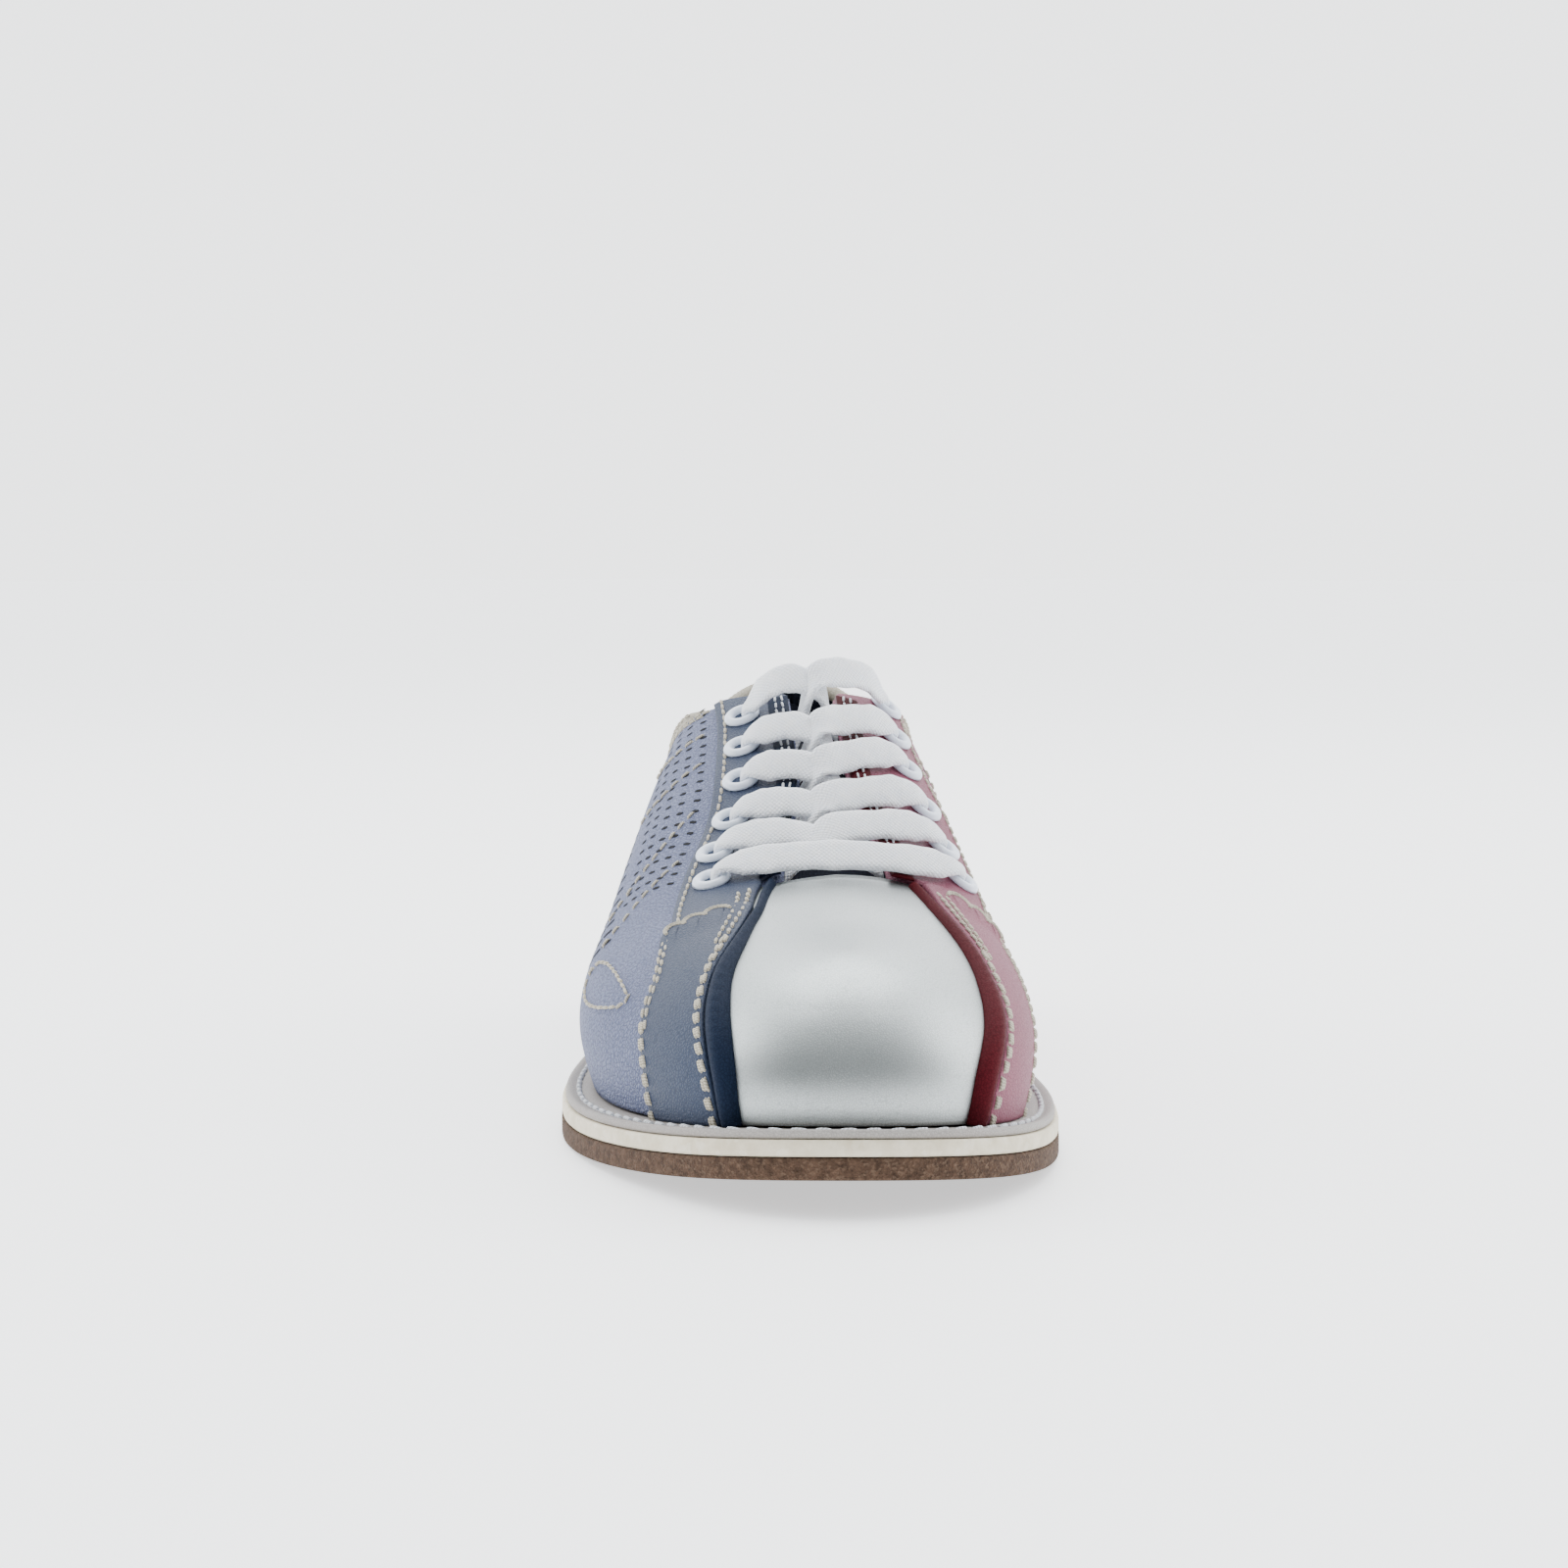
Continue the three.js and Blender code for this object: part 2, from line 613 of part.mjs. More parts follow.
// One run of the lace from an eyelet, under the facing, over the middle and down into the eyelet opposite.
function laceRun(from, number, over) {
  const [startAngle, startRise] = eyeletPlace(from, number);
  const [endAngle, endRise] = eyeletPlace(-from, number + 1);
  const start = Math.abs(startAngle);
  const end = Math.abs(endAngle);
  const middle = (start + end) / 2;
  const spread = 1.9;
  const near = middle - spread * 0.75;
  const far = middle + spread * 0.75;
  const edge = (side, angle, more) => riseAtGap(side * angle, throatGap(angle) + more);
  const low = underLining(laceShare);
  const high = overlayGap + overlayThickness + 0.5 + laceThickness / 2;
  const overFlange = high + laceOverFlange;
  return [
    { angle: startAngle, rise: startRise, depth: -3.2, narrow: 1 },
    { angle: from * (start + 0.1), rise: startRise + 0.022, depth: low - 0.25, narrow: 0.6 },
    { angle: from * (middle - spread), rise: edge(from, middle - spread, 3), depth: low, narrow: 0 },
    { angle: from * near, rise: edge(from, near, -1.2), depth: over ? -2.4 : -3.2, narrow: 0 },
    { angle: from * middle, rise: 1, depth: over ? 1.7 : -1.1, narrow: 0 },
    { angle: -from * far, rise: edge(-from, far, -0.8), depth: high - 0.2, narrow: 0 },
    { angle: -from * (middle + spread), rise: edge(-from, middle + spread, 3), depth: high, narrow: 0 },
    { angle: -from * (end - 0.9), rise: lerp(endRise, 1, 0.12), depth: overFlange + 0.2, narrow: 0.7 },
    { angle: endAngle, rise: endRise, depth: overFlange - 0.2, narrow: 1 },
  ];
}

function laceTail(side) {
  const [angle, rise] = eyeletPlace(side, eyeletPairs - 1);
  const low = underLining(tailShare);
  const turn = Math.abs(angle);
  return [
    { angle, rise, depth: -3.2, narrow: 1 },
    { angle: side * turn, rise: rise - 0.022, depth: low - 0.25, narrow: 0.6 },
    { angle: side * (turn + 0.6), rise: rise - 0.1, depth: low, narrow: 0 },
    { angle: side * (turn + 1.5), rise: rise - 0.24, depth: low, narrow: 0 },
    { angle: side * (turn + 2), rise: rise - 0.36, depth: low, narrow: 0.9 },
  ];
}

function laceRoute() {
  const half = (start) => {
    const stops = [];
    let side = start;
    for (let number = 0; number < eyeletPairs - 1; number++) {
      stops.push(...laceRun(side, number, side < 0));
      side = -side;
    }
    return [...stops, ...laceTail(side)];
  };
  const high = overlayGap + overlayThickness + laceOverFlange + 0.5 + laceThickness / 2;
  const bar = [];
  for (const share of [-1, -0.8, -0.4, 0, 0.4, 0.8, 1]) {
    const side = share < 0 ? -1 : 1;
    const [angle, rise] = eyeletPlace(side, 0);
    const lift = high + (Math.abs(share) === 1 ? -0.2 : 0.3);
    const flat = Math.abs(share);
    const turn = lerp(71.5, Math.abs(angle), flat);
    const narrow = Math.max(0, (flat - 0.6) / 0.4);
    bar.push({ angle: side * turn, rise: lerp(1, rise, flat), depth: lift, narrow });
  }
  return [...half(-1).reverse(), ...bar, ...half(1)];
}

function addLace() {
  const stops = laceRoute();
  const places = stops.map((stop) => skin(stop.angle, stop.rise, stop.depth));
  const curve = new THREE.CatmullRomCurve3(places, false, 'centripetal');
  const lengthwise = stops.map((stop) => {
    const side = Math.sign(stop.angle) || 1;
    const before = face(stop.angle - side * 0.5, stop.rise);
    return face(stop.angle + side * 0.5, stop.rise).sub(before).normalize();
  });
  const steps = (stops.length - 1) * 2;
  const lace = bent(steps, 1, (across, along, layer) => {
    const place = across * (stops.length - 1);
    const first = Math.min(Math.floor(place), stops.length - 2);
    const share = place - first;
    const tangent = curve.getTangent(across);
    const wide = lengthwise[first].clone().lerp(lengthwise[first + 1], share);
    wide.addScaledVector(tangent, -wide.dot(tangent)).normalize();
    const thick = tangent.clone().cross(wide);
    const narrow = smoothstep(lerp(stops[first].narrow, stops[first + 1].narrow, share), 0, 1);
    const width = lerp(laceWidth, laceWidthInBore, narrow);
    const point = curve.getPoint(across).addScaledVector(wide, (along - 0.5) * width);
    return point.addScaledVector(thick, (layer - 0.5) * laceThickness);
  });
  add('lace', lace, colours.laceWhite());
  for (const side of [-1, 1]) addAglet(side, side < 0 ? 'outer' : 'inner', stops.at(side < 0 ? 0 : -1));
}

// The stiff tip at each end of the lace, tucked against the lining.
function addAglet(side, label, end) {
  const from = end.rise - 0.4 / wallHeight;
  const to = from - aglet.length / wallHeight;
  const spread = aglet.width / wallHeight;
  const tip = bent(2, 3, (across, along, layer) => {
    const angle = end.angle + (across - 0.5) * spread * sideDegreesPerWallHeight;
    return skin(angle, lerp(to, from, along), end.depth + (layer - 0.5) * aglet.thickness);
  });
  add(`aglet_${label}`, tip, colours.clearPlastic());
}

addSole();
addVamp();
const { navy, slate, lavender, wine, rose, pink } = colours;
addSide(-1, 'lateral', { roll: navy, wing: slate, facing: slate, quarter: lavender });
addSide(1, 'medial', { roll: wine, wing: rose, facing: rose, quarter: pink });
addHeel();
addTongue();
addLace();

export default shoe;
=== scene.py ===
import math
import bmesh
import bpy
import numpy as np
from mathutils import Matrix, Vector


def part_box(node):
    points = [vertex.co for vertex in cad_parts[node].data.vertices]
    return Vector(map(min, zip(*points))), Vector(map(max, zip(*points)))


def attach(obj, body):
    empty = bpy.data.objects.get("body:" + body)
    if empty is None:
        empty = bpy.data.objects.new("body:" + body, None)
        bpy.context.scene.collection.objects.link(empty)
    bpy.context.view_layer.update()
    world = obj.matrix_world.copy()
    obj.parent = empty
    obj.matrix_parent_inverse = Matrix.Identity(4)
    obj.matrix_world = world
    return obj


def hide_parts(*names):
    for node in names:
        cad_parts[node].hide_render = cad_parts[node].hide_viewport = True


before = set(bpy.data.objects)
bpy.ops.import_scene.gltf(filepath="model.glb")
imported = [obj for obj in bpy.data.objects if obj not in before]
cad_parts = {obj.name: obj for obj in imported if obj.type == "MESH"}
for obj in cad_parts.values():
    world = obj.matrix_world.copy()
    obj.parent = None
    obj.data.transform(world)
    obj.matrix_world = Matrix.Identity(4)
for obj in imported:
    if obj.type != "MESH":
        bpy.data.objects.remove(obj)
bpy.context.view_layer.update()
mm = 0.001
soleLow, soleHigh = (np.array(corner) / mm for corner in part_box("outsole"))

# Lengths are in millimetres and angles in degrees: 0 at the toe, positive on the inner side, 180 at the heel.
shape = {
    "length": soleHigh[1] - soleLow[1],
    "ball": (soleHigh[0] - soleLow[0]) * 0.9785,
    "crown": 117.0,
    "toeSpring": 8.0,
    "heelLift": 10.0,
    "throatBase": 12.0,
    "throatTop": 5.6,
    "throatAngle": 69.0,
    "cornerAngle": 108.0,
}
layers = {
    "leather": 1.3,
    "lining": 3.0,
    "liningThick": 0.9,
    "feather": 10.8,
}
liningBack = -layers["lining"] - layers["liningThick"]


def profile(*pairs):
    xs, ys = np.array(pairs, float).T
    slopes = np.gradient(ys, xs, edge_order=1)
    slopes[1:-1] = (ys[2:] - ys[:-2]) / (xs[2:] - xs[:-2])

    def at(place):
        x = np.clip(place, xs[0], xs[-1])
        i = np.clip(np.searchsorted(xs, x) - 1, 0, len(xs) - 2)
        step = xs[i + 1] - xs[i]
        t = (x - xs[i]) / step
        bends = slopes[i] * t * (1 - t) ** 2 - slopes[i + 1] * t * t * (1 - t)
        return ys[i] + (ys[i + 1] - ys[i]) * t * t * (3 - 2 * t) + step * bends

    return at


def smooth(x, low, high):
    t = np.clip((x - low) / (high - low), 0, 1)
    return t * t * (3 - 2 * t)


def mix(a, b, t):
    return a + (b - a) * t


innerHalf = profile((0, 0.734), (30, 0.651), (60, 0.541), (90, 0.417), (120, 0.385), (150, 0.578),
                    (180, 0.67))
outerHalf = profile((0, 0.734), (30, 0.633), (60, 0.615), (90, 0.5), (120, 0.45), (150, 0.606),
                    (180, 0.67))
weltLedge = profile((0, 8.5), (30, 8), (60, 7.5), (90, 5.5), (120, 4.5), (150, 4), (180, 4))
crownSide = profile((0.12, 0.078), (0.2, 0.073), (0.32, 0.064), (0.43, 0.05), (0.55, 0.028), (0.7, 0),
                    (0.86, -0.028))
crownRise = profile((0.125, 0.423), (0.2, 0.44), (0.26, 0.462), (0.32, 0.487), (0.36, 0.521), (0.43, 0.59),
                    (0.49, 0.667), (0.56, 0.744), (0.62, 0.812), (0.69, 0.872), (0.79, 0.949), (0.86, 1))
fullness = profile((0.125, 2.4), (0.23, 3.2), (0.33, 4), (0.43, 4), (0.86, 4))
bulge = profile((0.125, 0.02), (0.32, 0.06), (0.5, 0.03), (0.86, 0.02))
collarRise = profile((96, 0.83), (102, 0.8), (108, 0.755), (118, 0.68), (132, 0.635), (150, 0.66),
                     (166, 0.74), (180, 0.775))


def unit(vectors):
    return vectors / np.linalg.norm(vectors, axis=-1, keepdims=True)


def turned(angle):
    return (np.asarray(angle, float) + 180) % 360 - 180


def soleEdge(angle):
    a = turned(angle)
    half = np.where(a >= 0, innerHalf(a), outerHalf(-a))
    turn = np.radians(a)
    x = shape["ball"] * (0.0197 + 0.046 * np.cos(turn) + half * np.sin(turn))
    return np.stack([x, -shape["length"] / 2 * np.cos(turn)], -1)


def outline(angle, inset):
    along = unit(soleEdge(angle + 0.05) - soleEdge(angle - 0.05))
    outward = np.stack([along[..., 1], -along[..., 0]], -1)
    return soleEdge(angle) - outward * np.asarray(inset)[..., None]


def soleLift(y):
    share = y / shape["length"] + 0.5
    toe = shape["toeSpring"] * np.maximum(0, 1 - share / 0.28) ** 2
    return toe + shape["heelLift"] * smooth(share, 0.5, 0.71)


def crownStation(angle):
    share = 0.5 - 0.5 * np.cos(np.radians(angle))
    toe = np.maximum(0, 1 - share / 0.4276)
    heel = np.maximum(0, 1 - (1 - share) / 0.3618)
    return share + 0.125 * toe ** 2 - 0.1382 * heel ** 2


def section(angle):
    foot = outline(angle, weltLedge(np.abs(turned(angle))))
    share = crownStation(angle)
    side, up = shape["ball"] * crownSide(share), shape["crown"] * crownRise(share)
    crown = np.stack([side, (share - 0.5) * shape["length"], up], -1)
    return foot, share, soleLift(foot[..., 1]) + layers["feather"], crown, fullness(share)


def face(angle, rise):
    foot, share, footZ, crown, power = section(angle)
    turn = np.pi / 2 * np.clip(rise, 0, 1) ** (power / 2)
    up = np.sin(turn) ** (2 / power)
    out = np.cos(turn) * (1 + bulge(share) * np.sin(np.pi * np.minimum(up / 0.7, 1)))
    flat = [mix(crown[..., k], foot[..., k], out) for k in (0, 1)]
    return np.stack([*flat, mix(footZ, crown[..., 2], up)], -1)


def faceNormal(angle, rise):
    low = np.maximum(rise - 0.002, 0)
    across = face(angle + 0.1, rise) - face(angle - 0.1, rise)
    upward = face(angle, np.minimum(low + 0.004, 1)) - face(angle, low)
    normal = np.cross(across, upward)
    share = crownStation(angle)
    climb = shape["crown"] * (crownRise(share + 0.002) - crownRise(share - 0.002))
    ridge = np.stack([np.zeros_like(climb), -climb, np.full_like(climb, 0.004 * shape["length"])], -1)
    normal = np.where((np.asarray(rise) > 0.999)[..., None], ridge, normal)
    return normal / np.maximum(np.linalg.norm(normal, axis=-1, keepdims=True), 1e-9)


# A point outside the face of the upper, or inside it where depth is below 0.
def skin(angle, rise, depth):
    angle, rise, depth = np.broadcast_arrays(*(np.asarray(part, float) for part in (angle, rise, depth)))
    return face(angle, rise) + faceNormal(angle, rise) * depth[..., None]


def riseAtHeight(angle, height):
    _, _, footZ, crown, power = section(angle)
    up = np.clip((height - footZ) / (crown[..., 2] - footZ), 0, 1)
    return (2 / np.pi * np.arcsin(up ** (power / 2))) ** (2 / power)


def riseAtGap(angle, gap):
    foot, _, _, crown, power = section(angle)
    out = np.clip(gap / np.linalg.norm(foot - crown[..., :2], axis=-1), 0, 1)
    return (2 / np.pi * np.arccos(out)) ** (2 / power)


def throatGap(angle):
    return mix(shape["throatBase"], shape["throatTop"], smooth(crownStation(angle), 0.32, 0.5))


def topRise(angle):
    collar = riseAtHeight(angle, shape["crown"] * collarRise(np.abs(turned(angle))))
    return np.minimum(collar, riseAtGap(angle, throatGap(angle)))


def linked(name, data):
    obj = bpy.data.objects.new(name, data)
    bpy.context.scene.collection.objects.link(obj)
    return obj


# Gives each vertex its place on the flat map, in metres.
def writeMap(mesh, flat):
    layer = mesh.uv_layers.new(name="UVMap")
    loops = np.empty(len(mesh.loops), int)
    mesh.loops.foreach_get("vertex_index", loops)
    layer.data.foreach_set("uv", flat[loops].astype(np.float32).ravel())


def evaluatedMesh(obj, keepLayers=False):
    graph = bpy.context.evaluated_depsgraph_get()
    options = {"preserve_all_data_layers": True, "depsgraph": graph} if keepLayers else {}
    return bpy.data.meshes.new_from_object(obj.evaluated_get(graph), **options)


def meshObject(name, points, faces, uvs=None, edge=None, smoothFaces=True):
    mesh = bpy.data.meshes.new(name)
    mesh.from_pydata((np.asarray(points) * mm).tolist(), [], [tuple(map(int, f)) for f in faces])
    if uvs is not None:
        writeMap(mesh, np.asarray(uvs) * mm)
    if edge is not None:
        # edge: 1 at a panel's rounded border, fading inwards; the leathers use it for painted shade along that border
        edgeShadeLayer = mesh.attributes.new("edge", "FLOAT", "POINT")
        edgeShadeLayer.data.foreach_set("value", np.asarray(edge, np.float32).ravel())
    work = bmesh.new()
    work.from_mesh(mesh)
    bmesh.ops.remove_doubles(work, verts=work.verts, dist=2e-6)
    bmesh.ops.dissolve_degenerate(work, edges=work.edges, dist=1e-7)
    bmesh.ops.recalc_face_normals(work, faces=work.faces)
    work.to_mesh(mesh)
    work.free()
    mesh.shade_smooth() if smoothFaces else mesh.shade_flat()
    return linked(name, mesh)


# Faces between rings of points; every ring closes on itself.
def ringQuads(near, far):
    return np.stack([near, np.roll(near, -1, 1), np.roll(far, -1, 1), far], -1).reshape(-1, 4)


# Faces of a tube of rings with a cap at each end.
def tubeFaces(rings, sides):
    index = np.arange(rings * sides).reshape(rings, sides)
    return [tuple(q) for q in ringQuads(index[:-1], index[1:])] + [tuple(index[0][::-1]), tuple(index[-1])]


def stations(count, length, first, last):
    inner = np.linspace(0, 1, count + 1)
    close = np.array([0, 0.12, 0.35, 0.75, 1.4]) / length
    parts = [inner]
    if first:
        parts = [close] + [p[p > close[-1] * 1.3] for p in parts]
    if last:
        parts = [p[p < 1 - close[-1] * 1.3] for p in parts] + [1 - close[::-1]]
    return np.concatenate(parts)


# A closed sheet over a grid; place(across, along) gives the outer and the inner points.
def sheetMesh(name, across, along, size, place, rounded, open=(), drop=0.55):
    u, v = np.meshgrid(across, along, indexing="ij")
    toEdge = {"left": u * size[0], "right": (1 - u) * size[0], "bottom": v * size[1], "top": (1 - v) * size[1]}
    gaps = [toEdge[key] for key in toEdge if key in rounded]
    nearest = np.minimum.reduce(gaps) if gaps else np.full_like(u, 99)
    sink = drop * (1 - np.clip(nearest / 1.1, 0, 1)) ** 2
    outer, inner = place(u, v, sink)
    n, m = u.shape
    points = np.concatenate([outer.reshape(-1, 3), inner.reshape(-1, 3)])
    index = np.arange(n * m).reshape(n, m)
    far = n * m
    quads = np.stack([index[:-1, :-1], index[1:, :-1], index[1:, 1:], index[:-1, 1:]], -1).reshape(-1, 4)
    faces = [quads, quads[:, ::-1] + far]
    borders = {"left": index[0, :], "right": index[-1, ::-1], "bottom": index[::-1, 0], "top": index[:, -1]}
    for key, line in borders.items():
        if key not in open:
            faces.append(np.stack([line[:-1], line[1:], line[1:] + far, line[:-1] + far], -1))
    flat = np.stack([u * size[0], v * size[1]], -1).reshape(-1, 2)
    # 1 at a rounded border, fading over a few millimetres; used for painted shade where the edge turns down into the
    # seam
    edge = np.exp(-nearest / 1.6).reshape(-1)
    return meshObject(name, points, np.concatenate(faces), np.tile(flat, (2, 1)), np.tile(edge, 2))


# A sheet that lies on the upper: where(u, v) gives angle and rise, outer and inner are depths.
def upperSheet(name, counts, size, where, inner, outer,
               rounded=("left", "right", "bottom", "top"), open=(), drop=0.55):
    across = stations(counts[0], size[0], "left" in rounded, "right" in rounded)
    along = stations(counts[1], size[1], "bottom" in rounded, "top" in rounded)

    def place(u, v, sink):
        angle, rise = where(u, v)
        top = outer(u, v) if callable(outer) else outer
        return skin(angle, rise, top - sink), skin(angle, rise, inner)

    return sheetMesh(name, across, along, size, place, rounded, open, drop)


def add(tree, kind, inputs=None, **settings):
    made = tree.nodes.new(kind)
    for key, value in settings.items():
        setattr(made, key, value)
    for key, value in (inputs or {}).items():
        if isinstance(value, bpy.types.NodeSocket):
            tree.links.new(value, made.inputs[key])
        else:
            made.inputs[key].default_value = value
    return made


def math2(tree, operation, a, b=0.0):
    return add(tree, "ShaderNodeMath", {0: a, 1: b}, operation=operation).outputs[0]


def plus(tree, a, b):
    return math2(tree, "ADD", a, b)


def times(tree, a, b):
    return math2(tree, "MULTIPLY", a, b)


def blendColour(tree, factor, a, b):
    return add(tree, "ShaderNodeMix", {"Factor": factor, 6: a, 7: b}, data_type="RGBA").outputs[2]


def ramp(tree, value, low, high, toLow=0.0, toHigh=1.0, **settings):
    ends = {"From Min": low, "From Max": high, "To Min": toLow, "To Max": toHigh}
    return add(tree, "ShaderNodeMapRange", {"Value": value, **ends}, **settings).outputs[0]


def objectCoords(tree):
    return add(tree, "ShaderNodeTexCoord").outputs["Object"]


def noiseNode(tree, vector, scale, detail, **more):
    return add(tree, "ShaderNodeTexNoise", {"Vector": vector, "Scale": scale, "Detail": detail, **more})


def bumpFrom(tree, shader, height, strength, distance=0.0003):
    bump = add(tree, "ShaderNodeBump", {"Strength": strength, "Distance": distance, "Height": height})
    tree.links.new(bump.outputs[0], shader.inputs["Normal"])


def shaderGroup(name, inputs, outputs):
    tree = bpy.data.node_groups.new(name, "ShaderNodeTree")
    for key, value in inputs.items():
        socket = tree.interface.new_socket(key, in_out="INPUT", socket_type="NodeSocketFloat")
        socket.default_value = value
    for key in outputs:
        tree.interface.new_socket(key, in_out="OUTPUT", socket_type="NodeSocketFloat")
    return tree, tree.nodes.new("NodeGroupInput"), tree.nodes.new("NodeGroupOutput")


# Pebbled leather: rounded cells with fine pores and slow patches.
def buildGrainGroup():
    tree, given, out = shaderGroup("leatherGrain", {"Cells": 900.0, "Patch": 22.0}, ["Height", "Valley", "Patches"])
    coords = objectCoords(tree)
    warp = noiseNode(tree, coords, 260.0, 2.0)
    mixed = {"Factor": 0.0012, 4: coords, 5: warp.outputs["Color"]}
    bent = add(tree, "ShaderNodeMix", mixed, data_type="VECTOR").outputs[1]
    spacing = {"Vector": bent, "Scale": given.outputs["Cells"]}
    cells = add(tree, "ShaderNodeTexVoronoi", spacing, feature="DISTANCE_TO_EDGE")
    body = ramp(tree, cells.outputs["Distance"], 0.0, 0.32)
    fine = noiseNode(tree, coords, 3600.0, 3.0, Roughness=0.6)
    height = plus(tree, body, times(tree, fine.outputs["Fac"], 0.35))
    tree.links.new(height, out.inputs["Height"])
    tree.links.new(ramp(tree, cells.outputs["Distance"], 0.0, 0.16, 1.0, 0.0), out.inputs["Valley"])
    patch = noiseNode(tree, coords, given.outputs["Patch"], 3.0)
    tree.links.new(ramp(tree, patch.outputs["Fac"], 0.3, 0.7), out.inputs["Patches"])
    return tree


# Plain weave over a UV map laid out in metres.
def buildWeaveGroup():
    tree, given, out = shaderGroup("clothWeave", {"Threads": 1100.0, "Slant": 0.0}, ["Height", "Thread"])
    uv = add(tree, "ShaderNodeUVMap", uv_map="UVMap").outputs[0]
    lean = {"Vector": uv, "Angle": given.outputs["Slant"]}
    leaning = add(tree, "ShaderNodeVectorRotate", lean, rotation_type="Z_AXIS").outputs[0]
    halves = add(tree, "ShaderNodeSeparateXYZ", {0: leaning})
    waves = []
    for axis in (0, 1):
        phase = times(tree, halves.outputs[axis], given.outputs["Threads"])
        waves.append(math2(tree, "SINE", times(tree, phase, math.pi)))
    product = times(tree, waves[0], waves[1])
    over = math2(tree, "ABSOLUTE", product)
    tree.links.new(math2(tree, "POWER", over, 0.5), out.inputs["Height"])
    tree.links.new(ramp(tree, product, -1.0, 1.0), out.inputs["Thread"])
    return tree


def newMaterial(name, roughness=0.6, metallic=0.0, specular=0.2, **extra):
    material = bpy.data.materials.new(name)
    material.use_nodes = True
    tree = material.node_tree
    shader = tree.nodes["Principled BSDF"]
    shader.inputs["Roughness"].default_value = roughness
    shader.inputs["Metallic"].default_value = metallic
    shader.inputs["Specular IOR Level"].default_value = specular
    for key, value in extra.items():
        shader.inputs[key].default_value = value
    return material, tree, shader


def colour(text):
    value = [int(text[i:i + 2], 16) / 255 for i in (1, 3, 5)]
    linear = [c / 12.92 if c <= 0.04045 else ((c + 0.055) / 1.055) ** 2.4 for c in value]
    return (*linear, 1.0)


# the edge darkening paints shade along each panel's rounded edges; its argument sets how strong the painted shade is
def leather(name, base, dark, light, cells=900.0, depth=0.25, roughness=0.55, metallic=0.0,
            edgeWear=0.35, patch=22.0, valley=0.45, **extra):
    material, tree, shader = newMaterial(name, roughness, metallic, **extra)
    grain = add(tree, "ShaderNodeGroup", node_tree=grainGroup)
    grain.inputs["Cells"].default_value = cells
    grain.inputs["Patch"].default_value = patch
    tone = blendColour(tree, grain.outputs["Patches"], colour(base), colour(light))
    tone = blendColour(tree, times(tree, grain.outputs["Valley"], valley), tone, colour(dark))
    # painted shade: near a rounded panel edge the colour goes towards the dark tone
    edge = add(tree, "ShaderNodeAttribute", attribute_name="edge").outputs["Fac"]
    tone = blendColour(tree, times(tree, edge, edgeWear), tone, colour(dark))
    tree.links.new(tone, shader.inputs["Base Color"])
    rough = plus(tree, times(tree, grain.outputs["Patches"], 0.1), roughness - 0.08)
    rough = plus(tree, rough, times(tree, grain.outputs["Valley"], 0.1))
    tree.links.new(rough, shader.inputs["Roughness"])
    bumpFrom(tree, shader, grain.outputs["Height"], depth)
    return material


def cloth(name, base, light, threads=1100.0, slant=0.0, depth=0.5, roughness=0.9, fuzz=0.4, **extra):
    material, tree, shader = newMaterial(name, roughness, 0.0, **extra)
    weave = add(tree, "ShaderNodeGroup", node_tree=weaveGroup)
    weave.inputs["Threads"].default_value = threads
    weave.inputs["Slant"].default_value = slant
    coords = objectCoords(tree)
    noise = noiseNode(tree, coords, 420.0, 4.0)
    tone = blendColour(tree, ramp(tree, noise.outputs["Fac"], 0.3, 0.75, 0.0, fuzz), colour(base), colour(light))
    tone = blendColour(tree, times(tree, weave.outputs["Height"], 0.5), tone, colour(light))
    tree.links.new(tone, shader.inputs["Base Color"])
    height = plus(tree, weave.outputs["Height"], times(tree, noise.outputs["Fac"], 0.8))
    bumpFrom(tree, shader, height, depth)
    return material


# Moulded or cut material with grains of two sizes.
def granular(name, base, dark, light, scale=900.0, depth=0.5, roughness=0.85, speckle=0.6,
             metallic=0.0, **extra):
    material, tree, shader = newMaterial(name, roughness, metallic, **extra)
    coords = objectCoords(tree)
    coarse = noiseNode(tree, coords, scale * 0.3, 5.0, Roughness=0.7)
    grains = add(tree, "ShaderNodeTexVoronoi", {"Vector": coords, "Scale": scale})
    tint = add(tree, "ShaderNodeSeparateColor", {0: grains.outputs["Color"]}).outputs[0]
    tone = blendColour(tree, ramp(tree, coarse.outputs["Fac"], 0.35, 0.65), colour(dark), colour(base))
    tone = blendColour(tree, ramp(tree, tint, 0.72, 0.95, 0.0, speckle), tone, colour(light))
    tone = blendColour(tree, ramp(tree, tint, 0.0, 0.18, speckle, 0.0), tone, colour(dark))
    tree.links.new(tone, shader.inputs["Base Color"])
    height = plus(tree, grains.outputs["Distance"], coarse.outputs["Fac"])
    bumpFrom(tree, shader, height, depth, 0.0004)
    return material


# Twisted thread: the stitch's own map runs along it in u and round it in v.
def threadFinish(name, base, dark, roughness=0.7):
    material, tree, shader = newMaterial(name, roughness)
    uv = add(tree, "ShaderNodeUVMap", uv_map="UVMap").outputs[0]
    halves = add(tree, "ShaderNodeSeparateXYZ", {0: uv})
    twist = plus(tree, times(tree, halves.outputs[0], 5.0), times(tree, halves.outputs[1], 2.0))
    strand = math2(tree, "ABSOLUTE", math2(tree, "SINE", times(tree, twist, math.pi)))
    tree.links.new(blendColour(tree, strand, colour(dark), colour(base)), shader.inputs["Base Color"])
    bumpFrom(tree, shader, strand, 0.6, 0.0002)
    return material


